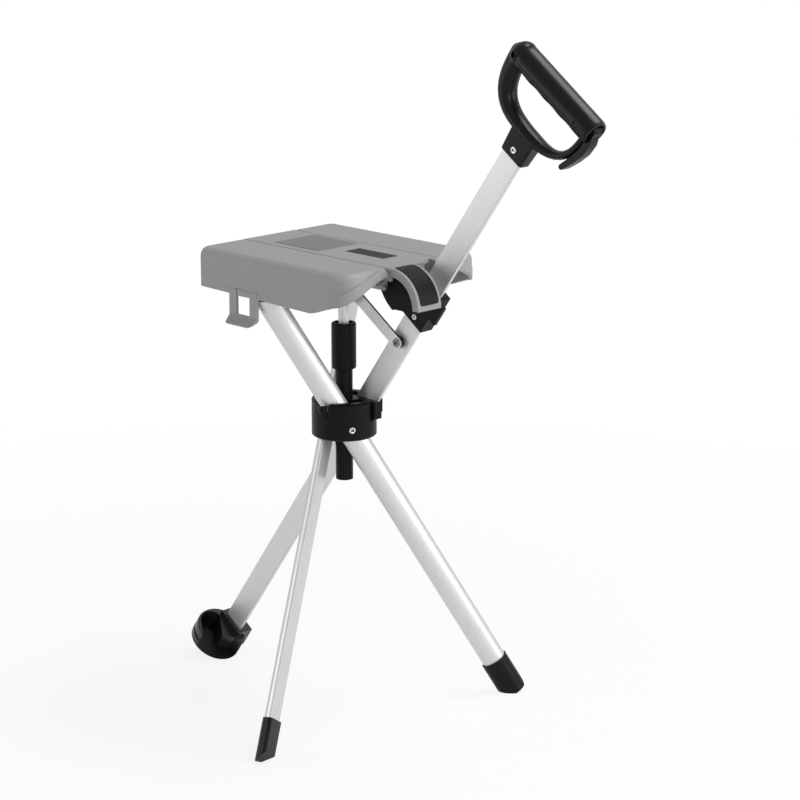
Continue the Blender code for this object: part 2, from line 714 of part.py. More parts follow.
def oval(centre, side, in_plane, across):
    """A ring of points round a place on the handle's middle plane."""
    ring = []
    for step in range(HANDLE_SIDES):
        angle = 2 * math.pi * step / HANDLE_SIDES
        reach = in_plane * math.cos(angle)
        ring.append((centre[0] + side[0] * reach, across * math.sin(angle), centre[1] + side[1] * reach))
    return ring


def grip_body():
    """The grip: a round bar with a rounded left end and finger waves underneath."""
    rings = []
    waves = WAVE_LENGTH * WAVE_COUNT
    for step in range(GRIP_STATIONS + 1):
        w = GRIP_LEFT + GRIP_ROUND / 20 + (GRIP_RIGHT - GRIP_LEFT - GRIP_ROUND / 20) * step / GRIP_STATIONS
        closing = max(1.0 - (w - GRIP_LEFT) / GRIP_ROUND, 0.0)
        radius = GRIP_RADIUS * math.sqrt(1.0 - closing * closing)
        radius -= GRIP_CHAMFER if step == GRIP_STATIONS else 0.0
        wave = 0.5 - 0.5 * math.cos(2 * math.pi * (w + waves / 2) / WAVE_LENGTH)
        depth = WAVE_DEPTH * wave if abs(w) < waves / 2 else 0.0
        ring = []
        for y, s in arc((0.0, 0.0), 1.0, 0.0, 2 * math.pi, HANDLE_SIDES)[:-1]:
            reach = radius - depth * max(-s, 0.0) ** 2
            ring.append((w, y * reach, grip_s + s * reach))
        rings.append(ring)
    return loft(rings)


def bow_body():
    """The bow under the grip: thick on the left, thin on the right, domed into the grip's left end."""
    middle = (BOW_LEFT + BOW_RIGHT) / 2
    half = (BOW_RIGHT - BOW_LEFT) / 2
    places = []
    for step in range(BOW_STATIONS + 1):
        angle = math.pi * step / BOW_STATIONS
        across, down = math.cos(angle), math.sin(angle)
        reach = (abs(across) ** BOW_SQUARENESS + down ** BOW_SQUARENESS) ** (-1.0 / BOW_SQUARENESS)
        places.append(Vector((middle + half * reach * across, grip_s - BOW_DROP * reach * down)))
    rings = []
    for step, place in enumerate(places):
        before = places[max(step - 1, 0)]
        after = places[min(step + 1, BOW_STATIONS)]
        along = (after - before).normalized()
        lean = math.cos(math.pi * step / BOW_STATIONS)
        thick = BOW_THIN + (BOW_THICK - BOW_THIN) * max(-lean, 0.0) ** BOW_SWELL
        thick += (BOW_RIGHT_THIN - BOW_THIN) * eased(lean)
        deep = BOW_DEPTH + (BOW_RIGHT_DEPTH - BOW_DEPTH) * eased(lean)
        rings.append(oval(place, (along[1], -along[0]), thick, deep))
    for step in range(1, BOW_DOME_STEPS):
        angle = math.pi / 2 * step / BOW_DOME_STEPS
        share = math.cos(angle)
        centre = (BOW_LEFT + BOW_THICK * (1 - share) / 2, grip_s + BOW_THICK * math.sin(angle))
        rings.append(oval(centre, (1.0, 0.0), BOW_THICK * share, BOW_DEPTH * share))
    return loft(rings)


def rounded_block(half_w, half_y, corner):
    """Outline of a rounded rectangle."""
    outline = []
    for turn, (w, y) in enumerate(((1, 1), (-1, 1), (-1, -1), (1, -1))):
        start = turn * math.pi / 2
        outline += arc((w * (half_w - corner), y * (half_y - corner)), corner, start, start + math.pi / 2, 4)
    return outline


def socket_body():
    """Socket that the stick's tube ends in, flaring into the bow."""
    half_w = TUBE_WIDTH / 2 + HANDLE_SOCKET_SIDE
    steps = ((0.0, -FIT_GAP), (HANDLE_SOCKET_FLARE, 0.0), (HANDLE_SOCKET_HEIGHT, HANDLE_SOCKET_FLARE))
    rings = []
    for rise, grow in steps:
        outline = rounded_block(half_w + grow, socket_deep + grow, HANDLE_SOCKET_CORNER)
        rings.append([(w, y, HANDLE_SOCKET_BOTTOM + rise) for w, y in outline])
    return loft(rings)


hook_pivot = (HOOK_PIVOT, grip_s + GRIP_CHAMFER)
limb = BOW_RIGHT + BOW_RIGHT_THIN + HOOK_ARM_TOP + SWING_GAP
HOOK_PATH = (
    hook_pivot, (limb - 0.0006, grip_s - 0.2 * BOW_DROP), (limb - 0.0012, grip_s - 0.41 * BOW_DROP),
    (limb - 0.005, grip_s - 0.63 * BOW_DROP), (limb - 0.0092, grip_s - 0.81 * BOW_DROP),
    (limb - 0.0114, grip_s - 0.9 * BOW_DROP))


def hook_outline(grow):
    """The lever's arm, seen square to its pin, with a round tip."""
    left = []
    right = []
    last = len(HOOK_PATH) - 1
    for i, point in enumerate(HOOK_PATH):
        before = Vector(HOOK_PATH[max(i - 1, 0)])
        after = Vector(HOOK_PATH[min(i + 1, last)])
        along = (after - before).normalized()
        half = HOOK_ARM_TOP + (HOOK_ARM_TIP - HOOK_ARM_TOP) * i / last + grow
        side = Vector((along[1], -along[0])) * half
        left.append((point[0] + side[0], point[1] + side[1]))
        right.append((point[0] - side[0], point[1] - side[1]))
    start = math.atan2(side[1], side[0])
    tip = arc(HOOK_PATH[last], half, start, start + math.pi, 8)[1:-1]
    return left + tip + right[::-1]


def hook_body(grow):
    """Arm and eye of the lever."""
    half = HOOK_THICKNESS + grow
    eye = cylinder(HOOK_EYE_RADIUS + grow, -half, half, "Y", hook_pivot, 24)
    return fuse(eye, prism(hook_outline(grow), -half, half, "Y"))


socket_deep = TUBE_DEPTH / 2 + FIT_GAP + HANDLE_SOCKET_FACE
recess_start = HOOK_PIVOT - HOOK_EYE_RADIUS - 2 * SWING_GAP
pin_half = GRIP_RADIUS - 5 * FIT_GAP
shell_screws = (
    (BOW_LEFT + HANDLE_SCREW_RADIUS, -BOW_DEPTH + HANDLE_SCREW_INSET),
    (recess_start - HANDLE_SCREW_HEAD - 4 * SWING_GAP, -GRIP_RADIUS + HANDLE_SCREW_INSET))
screw_tip = BOW_DEPTH / 2
for name, sign in (("handle_shell_near", -1.0), ("handle_shell_far", 1.0)):
    shell = fuse(grip_body(), bow_body(), socket_body())
    recess = cylinder(HOOK_RECESS_RADIUS, recess_start, GRIP_RIGHT + GRIP_ROUND, "X", (0.0, grip_s), 28)
    shell = cut(
        shell, recess, hook_body(SWING_GAP),
        prism(d_outline(FIT_GAP), HANDLE_SOCKET_BOTTOM - CUT_PAST, shaft_top + FIT_GAP),
        cylinder(HOOK_PIN_RADIUS + FIT_GAP, -pin_half - FIT_GAP, pin_half + FIT_GAP, "Y", hook_pivot, 16))
    for w, floor in shell_screws:
        place = (w, grip_s)
        shell = cut(
            shell, cylinder(HANDLE_SCREW_HEAD + FIT_GAP, -3 * CUT_PAST, floor, "Y", place, 16),
            cylinder(HANDLE_SCREW_RADIUS + FIT_GAP, -3 * CUT_PAST, screw_tip, "Y", place, 12))
    place = (0.0, socket_screw_level)
    shell = cut(
        shell, cylinder(SOCKET_SCREW_HEAD + FIT_GAP, -3 * CUT_PAST, -socket_deep, "Y", place, 16),
        cylinder(HANDLE_SCREW_RADIUS + FIT_GAP, -3 * CUT_PAST, 0.0, "Y", place, 14))
    other_half = half_space(Vector((0.0, sign * FIT_GAP / 2, grip_s)), Vector((0.0, -sign, 0.0)))
    part(name, cut(shell, other_half), BLACK_PLASTIC, shaft_frame)


def small_screw(head, shank, top, tip, place, axis="Y", head_height=SMALL_HEAD):
    """A pan-headed screw whose head's outside lies at top, pointing along +axis."""
    return turned([
        (0.0, top), (head * 0.85, top), (head, top + head_height * 0.4), (head, top + head_height),
        (shank, top + head_height), (shank, tip), (0.0, tip)], axis, place, 14)


for name, (w, floor) in zip(("handle_screw_left", "handle_screw_right"), shell_screws):
    part(name, small_screw(
        HANDLE_SCREW_HEAD, HANDLE_SCREW_RADIUS, floor - FIT_GAP - SMALL_HEAD, screw_tip - 4 * FIT_GAP,
        (w, grip_s)), STEEL, shaft_frame)
part("socket_screw", small_screw(
    SOCKET_SCREW_HEAD, HANDLE_SCREW_RADIUS, -socket_deep - FIT_GAP - SMALL_HEAD, -FIT_GAP,
    (0.0, socket_screw_level)), STEEL, shaft_frame)
part("hook_pin", cylinder(HOOK_PIN_RADIUS, -pin_half, pin_half, "Y", hook_pivot, 16), STEEL, shaft_frame)
hook_frame = frame("hook_axis", (0.0, 0.0, 0.0))
hook_frame.parent = shaft_frame
hook_frame.location = (hook_pivot[0], 0.0, hook_pivot[1])
hook = cut(hook_body(0.0), cylinder(
    HOOK_PIN_RADIUS + FIT_GAP, -3 * CUT_PAST, 3 * CUT_PAST, "Y", hook_pivot, 16))
part("table_hook", moved(hook, -hook_frame.location), BLACK_PLASTIC, hook_frame)

# Seat bracket: a sleeve on the stick, a web past the folded link, and a drum under the seat's arch
sleeve_half = TUBE_WIDTH / 2 + BRACKET_SIDE
sleeve_near = -TUBE_DEPTH / 2 - FIT_GAP - BRACKET_WALL
sleeve_far = TUBE_DEPTH / 2 + BRACKET_SIDE
drum_low = BRACKET_NEAR - LEG_OFFSET
drum_high = BRACKET_FAR - LEG_OFFSET
drum_c = (0.0, BRACKET_CENTRE)
drum_outline = arc(drum_c, BRACKET_RADIUS, BRACKET_LOBE, math.pi - BRACKET_LOBE, 20)
lobe_half = BRACKET_RADIUS * math.cos(BRACKET_LOBE)
lobe_sag = BRACKET_RADIUS * math.sin(BRACKET_LOBE) + BRACKET_CHORD
smile = (lobe_half ** 2 + lobe_sag ** 2) / (2 * lobe_sag)
smile_end = math.asin(lobe_half / smile)
smile_c = (0.0, BRACKET_CENTRE - BRACKET_CHORD + smile)
drum_outline += arc(smile_c, smile, -math.pi / 2 - smile_end, -math.pi / 2 + smile_end, 8)[1:-1]
bracket = block((-sleeve_half, sleeve_half), (sleeve_near, -FIT_GAP / 2), (BRACKET_LOW, BRACKET_HIGH))
bracket = fuse(
    bracket,
    block((BRACKET_WEB_START, BRACKET_WEB_END), (drum_high - 2 * JOIN_LAP, sleeve_near + JOIN_LAP),
          (BRACKET_WEB_LOW, BRACKET_HIGH)),
    prism(drum_outline, drum_low, drum_high, "Y"))
bracket = cut(bracket, prism(d_outline(FIT_GAP), BRACKET_LOW - CUT_PAST, BRACKET_HIGH + CUT_PAST))
bracket_screws = []
for level in BRACKET_SCREW_LEVELS:
    seat = sleeve_near + BRACKET_SCREW_SINK
    bracket = cut(
        bracket, cylinder(BRACKET_SCREW_RADIUS + FIT_GAP, sleeve_near - JOIN_LAP, 0.0, "Y", (0.0, level), 14),
        cylinder(BRACKET_SCREW_HEAD + FIT_GAP, sleeve_near - JOIN_LAP, seat, "Y", (0.0, level), 16))
    bracket_screws.append(small_screw(
        BRACKET_SCREW_HEAD, BRACKET_SCREW_RADIUS, sleeve_near, -TUBE_DEPTH / 2 + TUBE_WALL + SCREW_REACH,
        (0.0, level), head_height=BRACKET_SCREW_SINK - FIT_GAP))
part("seat_bracket", bracket, BLACK_PLASTIC, shaft_frame)
clamp = block((-sleeve_half, sleeve_half), (FIT_GAP / 2, sleeve_far), (BRACKET_LOW, BRACKET_HIGH))
clamp = cut(clamp, prism(d_outline(FIT_GAP), BRACKET_LOW - CUT_PAST, BRACKET_HIGH + CUT_PAST))
part("bracket_clamp", clamp, BLACK_PLASTIC, shaft_frame)
for name, screw in zip(("bracket_screw_lower", "bracket_screw_upper"), bracket_screws):
    part(name, screw, STEEL, shaft_frame)

# Link: a flat bar on a spacer beside the stick, pinned to the rod head above the guide
spacer_low = LINK_FAR - LEG_OFFSET + FIT_GAP
part("link_spacer", turned([
    (PIVOT_RADIUS + FIT_GAP, spacer_low), (SPACER_RADIUS, spacer_low),
    (SPACER_RADIUS, -TUBE_DEPTH / 2 - FIT_GAP), (PIVOT_RADIUS + FIT_GAP, -TUBE_DEPTH / 2 - FIT_GAP)],
    "Y", (0.0, LINK_PIVOT), 20), STEEL, shaft_frame)
link_head_low = LINK_NEAR - LEG_OFFSET - FIT_GAP - LINK_HEAD_HEIGHT
part("link_pivot_screw", small_screw(
    LINK_HEAD_RADIUS, PIVOT_RADIUS, link_head_low, -TUBE_DEPTH / 2 + TUBE_WALL + SCREW_REACH,
    (0.0, LINK_PIVOT), head_height=LINK_HEAD_HEIGHT), STEEL, shaft_frame)
link_foot = (LINK_PIVOT * math.sin(SHAFT_TILT), 0.0, HUB_HEIGHT + LINK_PIVOT * math.cos(SHAFT_TILT))
link_frame = frame("link_axis", link_foot, (0.0, -LINK_LEAN, 0.0))
bar = arc((0.0, 0.0), LINK_WIDTH / 2, math.pi, 2 * math.pi, 10)
bar += arc((0.0, LINK_LENGTH), LINK_WIDTH / 2, 0.0, math.pi, 10)
link = cut(
    prism(bar, LINK_NEAR, LINK_FAR, "Y"),
    cylinder(PIVOT_RADIUS + FIT_GAP, 0.0, LINK_FAR * 2, "Y", (0.0, 0.0), 18),
    cylinder(PIN_RADIUS + FIT_GAP, 0.0, LINK_FAR * 2, "Y", (0.0, LINK_LENGTH), 18))
part("link_bar", link, ALUMINIUM, link_frame)

# Centre rod, its head and the pin that the seat turns on
rod_frame = frame("rod_head_axis", (0.0, 0.0, SEAT_PIVOT))
rod_top = -ROD_HEAD_DROP + ROD_SOCKET_DEPTH
part("centre_rod", cylinder(ROD_RADIUS, rod_top - ROD_LENGTH, rod_top, segments=24),
     ALUMINIUM, rod_frame)
eye = [(-ROD_HEAD_RADIUS, -ROD_HEAD_DROP), (ROD_HEAD_RADIUS, -ROD_HEAD_DROP)]
eye += arc((0.0, 0.0), ROD_HEAD_RADIUS, 0.0, math.pi, 16)
head = cut(
    prism(eye, -ROD_HEAD_HALF, ROD_HEAD_HALF, "Y"),
    cylinder(ROD_RADIUS + FIT_GAP, -ROD_HEAD_DROP * 2, rod_top + FIT_GAP, segments=24),
    cylinder(PIN_RADIUS + FIT_GAP, -3 * CUT_PAST, 3 * CUT_PAST, "Y", segments=18))
part("rod_head", head, BLACK_PLASTIC, rod_frame)
pin_near = LUG_NEAR - FIT_GAP
part("rod_head_pin", turned([
    (0.0, pin_near - PIN_HEAD_HEIGHT), (PIN_HEAD_RADIUS, pin_near - PIN_HEAD_HEIGHT),
    (PIN_HEAD_RADIUS, pin_near), (PIN_RADIUS, pin_near), (PIN_RADIUS, LINK_FAR), (0.0, LINK_FAR)],
    "Y", segments=18), STEEL, rod_frame)

# Seat strip: a shallow tray with a lug on the rod head, hinge knuckles and an arch over the drum


def knuckle(x, axis, facing, top):
    """A hinge knuckle, with a web up to the panel it belongs to."""
    start = SEAM_GAP / 2 + FIT_GAP
    outline = arc((0.0, 0.0), KNUCKLE_RADIUS, math.acos(start / KNUCKLE_RADIUS), 2 * math.pi, 14)
    outline += [(KNUCKLE_RADIUS, top), (start, top)]
    outline = [(axis[0] + facing * v, axis[1] + z) for v, z in outline]
    return prism(outline, x - KNUCKLE_LENGTH / 2, x + KNUCKLE_LENGTH / 2, "X")


seat_frame = frame("seat_axis", (0.0, 0.0, SEAT_PIVOT))
strip_low = SEAT_RISE - STRIP_SKIRT
strip_right = ARCH_CENTRE_X
side = [(STRIP_LEFT, strip_low), (strip_right, strip_low), (strip_right, SEAT_RISE)]
side += arc((STRIP_LEFT + STRIP_EDGE, SEAT_RISE - STRIP_EDGE), STRIP_EDGE,
            math.pi / 2, math.pi, 5)
strip = prism(side, -STRIP_HALF_WIDTH, STRIP_HALF_WIDTH, "Y")
inner_y = STRIP_HALF_WIDTH - STRIP_WALL
strip = cut(strip, block(
    (STRIP_LEFT + STRIP_WALL, strip_right - STRIP_WALL), (-inner_y, inner_y),
    (strip_low - CUT_PAST, SEAT_RISE - STRIP_PLATE)))
arch_in = ARCH_RADIUS - ARCH_THICKNESS
arch_c = (ARCH_CENTRE_X, ARCH_CENTRE_Z)
arch_end = math.pi / 2 + ARCH_LAP
arch_band = arc(arch_c, ARCH_RADIUS, 0.0, arch_end, ARCH_STEPS)
arch_band += arc(arch_c, arch_in, arch_end, 0.0, ARCH_STEPS)
saddle_in = BRACKET_RADIUS + FIT_GAP
saddle = arc(arch_c, ARCH_RADIUS - ARCH_THICKNESS / 2, math.radians(25), math.radians(92), 8)
saddle += arc(arch_c, saddle_in, math.radians(92), math.radians(25), 8)
saddle_y = (BRACKET_NEAR + BRACKET_FAR) / 2
notch_y = LEG_OFFSET
notch_half = TUBE_DEPTH / 2 + 4 * SWING_GAP
strip = cut(strip, block(
    (strip_right - STRIP_WALL - CUT_PAST, strip_right + CUT_PAST), (-inner_y, ARCH_FAR_EDGE - STRIP_WALL),
    (strip_low - CUT_PAST, SEAT_RISE - STRIP_PLATE)))
strip = fuse(
    strip, prism(arch_band, -STRIP_HALF_WIDTH, ARCH_FAR_EDGE, "Y"),
    prism(saddle, saddle_y - SADDLE_WIDTH / 2, saddle_y + SADDLE_WIDTH / 2, "Y"))
strip = cut(strip, block(
    (strip_right - NOTCH_DEPTH, strip_right + CUT_PAST), (notch_y - notch_half, notch_y + notch_half),
    (strip_low - CUT_PAST, SEAT_RISE + CUT_PAST)))
lug = arc((0.0, 0.0), LUG_RADIUS, math.pi, 2 * math.pi, 10)
lug += [(LUG_RADIUS, SEAT_RISE - STRIP_PLATE / 2), (-LUG_RADIUS, SEAT_RISE - STRIP_PLATE / 2)]
strip = fuse(strip, prism(lug, LUG_NEAR, LUG_FAR, "Y"))
strip = cut(strip, cylinder(PIN_RADIUS + FIT_GAP, LUG_NEAR * 2, 0.0, "Y", segments=18))
for sign in (-1.0, 1.0):
    edge_y = sign * STRIP_HALF_WIDTH
    outside = edge_y + sign * SEAM_EASE
    inside = edge_y - sign * SEAM_EASE
    over = SEAT_RISE + SEAM_EASE / 2
    ease = [(inside, over), (outside, over), (outside, SEAT_RISE - SEAM_EASE),
            (edge_y, SEAT_RISE - SEAM_EASE), (inside, SEAT_RISE)]
    strip = cut(strip, prism(ease, STRIP_LEFT - CUT_PAST, strip_right, "X"))
inlay_x = (INLAY_CENTRE[0] - INLAY_SIZE[0] / 2, INLAY_CENTRE[0] + INLAY_SIZE[0] / 2)
inlay_y = (INLAY_CENTRE[1] - INLAY_SIZE[1] / 2, INLAY_CENTRE[1] + INLAY_SIZE[1] / 2)
inlay_floor = SEAT_RISE - INLAY_RECESS
strip = cut(strip, block(
    (inlay_x[0] - FIT_GAP, inlay_x[1] + FIT_GAP), (inlay_y[0] - FIT_GAP, inlay_y[1] + FIT_GAP),
    (inlay_floor, SEAT_RISE + CUT_PAST)))
for sign in (-1.0, 1.0):
    hinge = (sign * HINGE_Y, HINGE_HEIGHT)
    for x in STRIP_KNUCKLES:
        strip = fuse(strip, knuckle(x, hinge, -sign, strip_low + JOIN_LAP - HINGE_HEIGHT))
    strip = cut(strip, cylinder(HINGE_RADIUS + FIT_GAP, STRIP_LEFT, strip_right, "X", hinge, 14))
part("seat_centre_panel", strip, GREY_PLASTIC, seat_frame)
part("centre_inlay", block(inlay_x, inlay_y, (
    inlay_floor + FIT_GAP, inlay_floor + FIT_GAP + INLAY_THICKNESS)), DARK_PANEL, seat_frame)
inlay_low = ARCH_RADIUS + FIT_GAP
inlay_band = arc(arch_c, inlay_low + INLAY_THICKNESS, *ARCH_INLAY_ANGLES, ARCH_STEPS)
inlay_band += arc(arch_c, inlay_low, *ARCH_INLAY_ANGLES[::-1], ARCH_STEPS)
part("arch_inlay", prism(
    inlay_band, -STRIP_HALF_WIDTH + ARCH_INLAY_MARGIN, ARCH_FAR_EDGE - ARCH_INLAY_MARGIN, "Y"),
    DARK_PANEL, seat_frame)
rod_span = (STRIP_KNUCKLES[0] - KNUCKLE_LENGTH / 2, STRIP_KNUCKLES[-1] + KNUCKLE_LENGTH / 2 + HINGE_ROD_END)
for name, sign in (("near_hinge_rod", -1.0), ("far_hinge_rod", 1.0)):
    part(name, cylinder(
        HINGE_RADIUS, rod_span[0], rod_span[1], "X", (sign * HINGE_Y, HINGE_HEIGHT), 14),
        STEEL, seat_frame)

# Wings: hollow panels with deep outer rims, hinged along the seams
wing_top = HINGE_DROP
wing_bottom = HINGE_DROP - WING_RIM
wing_seam = SEAM_GAP / 2


def rim_bottom(x):
    """The rim's lower edge, which falls a little towards the right end."""
    return wing_bottom - WING_RIM_FALL * (x - WING_LEFT) / (WING_RIGHT - WING_LEFT)


def edge_inset(depth, radius):
    """How far a filleted edge is drawn in at a depth below the top."""
    return radius - math.sqrt(max(radius ** 2 - max(radius - depth, 0.0) ** 2, 0.0))


def wing_plan(sign, depth, inset):
    """The wing's plan outline at a depth below its top face."""
    outer = edge_inset(depth, WING_OUTER_FILLET) + inset
    left = WING_LEFT + edge_inset(depth, WING_LEFT_FILLET) + inset
    right = WING_RIGHT - outer
    seam = wing_seam + edge_inset(depth, SEAM_EASE) + inset
    rim = WING_WIDTH - outer
    corner = WING_RIGHT_CORNER - outer
    left_corner = WING_LEFT_CORNER - edge_inset(depth, WING_LEFT_FILLET) - inset / 2
    outline = [(left, seam), (right, seam)]
    outline += arc((right - corner, rim - corner), corner, 0.0, math.pi / 2, 8)
    outline += arc((left + left_corner, rim - left_corner), left_corner, math.pi / 2, math.pi, 4)
    return [(x, sign * v, wing_top - depth) for x, v in outline]


def wing_shell(sign, inset):
    """A wing's solid form, or with an inset the hollow inside its walls."""
    depths = {WING_OUTER_FILLET * (1 - math.sin(math.pi / 2 * step / 5)) for step in range(6)}
    depths |= {WING_RIM, SEAM_EASE / 3}
    rings = []
    for depth in sorted(depths, reverse=True):
        rings.append([(x, y, z - inset) for x, y, z in wing_plan(sign, depth, inset)])
    rings[0] = [(x, y, rim_bottom(x) - inset) for x, y, z in rings[0]]
    return loft(rings)


def sweep_cut(sign):
    """What is taken off under the wing, so that its lower edge rises to the seam at the right end."""
    low = wing_bottom - WING_RIM_FALL - WING_WALL
    beyond = WING_WIDTH + WING_WALL
    rings = []
    for step in range(9):
        x = WING_SWEEP_START + (WING_RIGHT + WING_WALL - WING_SWEEP_START) * step / 8
        base = rim_bottom(x) - FIT_GAP
        share = eased((x - WING_SWEEP_START) / (WING_SWEEP_END - WING_SWEEP_START))
        outline = [(-WING_WALL, low), (-WING_WALL, base + (WING_SWEEP_SEAM - base) * share)]
        for place in range(10):
            v = beyond * place / 9
            fall = min(v / WING_WIDTH, 1.0) ** WING_SWEEP_BOW
            rise = WING_SWEEP_SEAM + (WING_SWEEP_OUTER - WING_SWEEP_SEAM) * fall
            outline.append((v, base + (rise - base) * share))
        outline.append((beyond, low))
        rings.append([(x, sign * v, z) for v, z in outline])
    return loft(rings)


def wing_body(sign):
    """One wing, with its rim, end walls and knuckles."""
    shell = cut(wing_shell(sign, 0.0), wing_shell(sign, WING_WALL))
    seam_side = sorted((-sign * CUT_PAST, sign * (WING_WALL + 2 * JOIN_LAP)))
    whole_length = (WING_LEFT - CUT_PAST, WING_RIGHT + CUT_PAST)
    shell = cut(shell, block(whole_length, seam_side, (wing_bottom - CUT_PAST, wing_top - SEAM_WALL)))
    shell = cut(shell, sweep_cut(sign))
    shell = cut(shell, block(
        (WING_LEFT - CUT_PAST, WING_LEFT + WING_WALL * 2),
        sorted((-sign * CUT_PAST, sign * (WING_WIDTH - WING_LEFT_CORNER))),
        (wing_bottom - CUT_PAST, wing_top - WING_LEFT_RIM)))
    shell = cut(shell, block(
        (WING_LEFT - CUT_PAST, WING_LEFT + SEAM_NOTCH[0]), sorted((-sign * CUT_PAST, sign * SEAM_NOTCH[1])),
        (wing_bottom - CUT_PAST, wing_top + CUT_PAST)))
    for x in WING_KNUCKLES:
        shell = fuse(shell, knuckle(x, (0.0, 0.0), sign, wing_top - SEAM_WALL + JOIN_LAP))
    return cut(shell, cylinder(HINGE_RADIUS + FIT_GAP, *whole_length, "X", segments=14))


def wing_clip():
    """Latch loop that hangs from the near wing's rim and flares at its lip."""
    outer = -WING_WIDTH - CLIP_PROUD
    inner = -WING_WIDTH + WING_WALL - FIT_GAP
    root = rim_bottom(CLIP_CENTRE) + CLIP_ROOT
    low = rim_bottom(CLIP_CENTRE) - CLIP_DROP
    bend = low + CLIP_BEND
    side = [(inner, root), (outer, root), (outer, bend), (outer - CLIP_LIP, low + WING_WALL / 2),
            (outer - CLIP_LIP + WING_WALL / 3, low), (inner, bend - WING_WALL)]
    left = CLIP_CENTRE - CLIP_WIDTH / 2
    right = CLIP_CENTRE + CLIP_WIDTH / 2
    front = [(right, root), (left, root)]
    front += arc((left + CLIP_CORNERS[0], low + CLIP_CORNERS[0]), CLIP_CORNERS[0], math.pi, 1.5 * math.pi, 4)
    front += arc((right - CLIP_CORNERS[1], low + CLIP_CORNERS[1]), CLIP_CORNERS[1], -math.pi / 2, 0.0, 6)
    strip_of_clip = prism(side, left - CLIP_LIP, right + CLIP_LIP, "X")
    return combine(strip_of_clip, prism(front, outer - 2 * CLIP_LIP, inner + WING_WALL, "Y"), "INTERSECT")


def clip_window():
    """The loop's window, with a slit into the rim beside its left leg."""
    left = CLIP_CENTRE - CLIP_WINDOW[0] / 2
    across = (-WING_WIDTH - WING_WALL, -WING_WIDTH + 2 * WING_WALL)
    top = rim_bottom(CLIP_CENTRE) - FIT_GAP
    window = block((left, left + CLIP_WINDOW[0]), across, (top - CLIP_WINDOW[1], top))
    slit = block((left, left + CLIP_SLIT[0]), across, (top - CLIP_WINDOW[1] / 2, top + CLIP_SLIT[1]))
    return fuse(window, slit)


def wing_catch():
    """Wedge on the far wing's rim that the latch loop snaps over."""
    outer = WING_WIDTH
    low, middle, high = (wing_bottom + level for level in CATCH_LEVELS)
    wedge = [(outer - WING_WALL / 2, low), (outer + CATCH_SIZE[1], middle), (outer - WING_WALL / 2, high)]
    return prism(wedge, CLIP_CENTRE - CATCH_SIZE[0] / 2, CLIP_CENTRE + CATCH_SIZE[0] / 2, "X")


near_frame = frame("near_wing_axis", (0.0, -HINGE_Y, SEAT_PIVOT + HINGE_HEIGHT))
far_frame = frame("far_wing_axis", (0.0, HINGE_Y, SEAT_PIVOT + HINGE_HEIGHT))
part("near_wing", cut(fuse(wing_body(-1.0), wing_clip()), clip_window()), GREY_PLASTIC, near_frame)
part("far_wing", fuse(wing_body(1.0), wing_catch()), GREY_PLASTIC, far_frame)
bpy.context.view_layer.update()
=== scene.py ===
"""A folding walking stick seat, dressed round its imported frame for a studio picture."""
import math

import bpy
from mathutils import Matrix, Quaternion, Vector


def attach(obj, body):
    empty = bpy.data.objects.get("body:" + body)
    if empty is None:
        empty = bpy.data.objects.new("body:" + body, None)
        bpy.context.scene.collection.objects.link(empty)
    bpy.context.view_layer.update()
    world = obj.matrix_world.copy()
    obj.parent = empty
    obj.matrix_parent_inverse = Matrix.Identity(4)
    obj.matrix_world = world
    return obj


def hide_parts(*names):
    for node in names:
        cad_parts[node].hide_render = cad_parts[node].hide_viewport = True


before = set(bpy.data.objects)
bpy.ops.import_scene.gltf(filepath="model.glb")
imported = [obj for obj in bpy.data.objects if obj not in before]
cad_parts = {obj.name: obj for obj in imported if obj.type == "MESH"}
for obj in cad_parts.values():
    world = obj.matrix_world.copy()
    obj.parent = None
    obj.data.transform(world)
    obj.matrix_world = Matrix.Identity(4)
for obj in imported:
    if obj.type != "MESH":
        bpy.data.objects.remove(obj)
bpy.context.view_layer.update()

# Studio: a white floor under four soft boxes, seen through a long lens from a little above the seat.
# Floor and surroundings are white to the camera, dimmer in reflections and dimmer still as a lamp,
# and the floor keeps the soft shadow round the feet.
CAMERA_PLACE = Vector((1.84739, -1.76416, 0.99777))
CAMERA_AZIMUTH = math.radians(-44.971)
CAMERA_RISE = math.radians(14.619)
CAMERA_LENS = 115.3
CAMERA_FILM = 36.0
WHITE = (1.0, 1.0, 1.0, 1.0)
WORLD_LEVEL = 0.34
MIRROR_SHARE = 0.5
FLOOR_SIZE = 14.0
FLOOR_HEIGHT = -0.0002
FLOOR_COLOUR = (0.93, 0.93, 0.93, 1.0)
SHADOW_NEAR = 0.35
SHADOW_FAR = 1.2
SHADOW_GLOW = 0.84
SOFTBOXES = (
    ("top_softbox", (0.7, 0.75, 2.9), (0.1, 0.0, 0.5), 1.0, 38.0),
    ("side_softbox", (2.5, 1.1, 0.8), (0.0, 0.0, 0.35), 1.3, 26.0),
    ("front_softbox", (-1.7, -2.2, 0.95), (0.0, 0.0, 0.4), 1.2, 14.0),
    ("camera_softbox", (2.9, -1.0, 1.1), (0.0, 0.0, 0.4), 1.0, 15.0))
scene = bpy.context.scene
scene.view_settings.view_transform = "Standard"


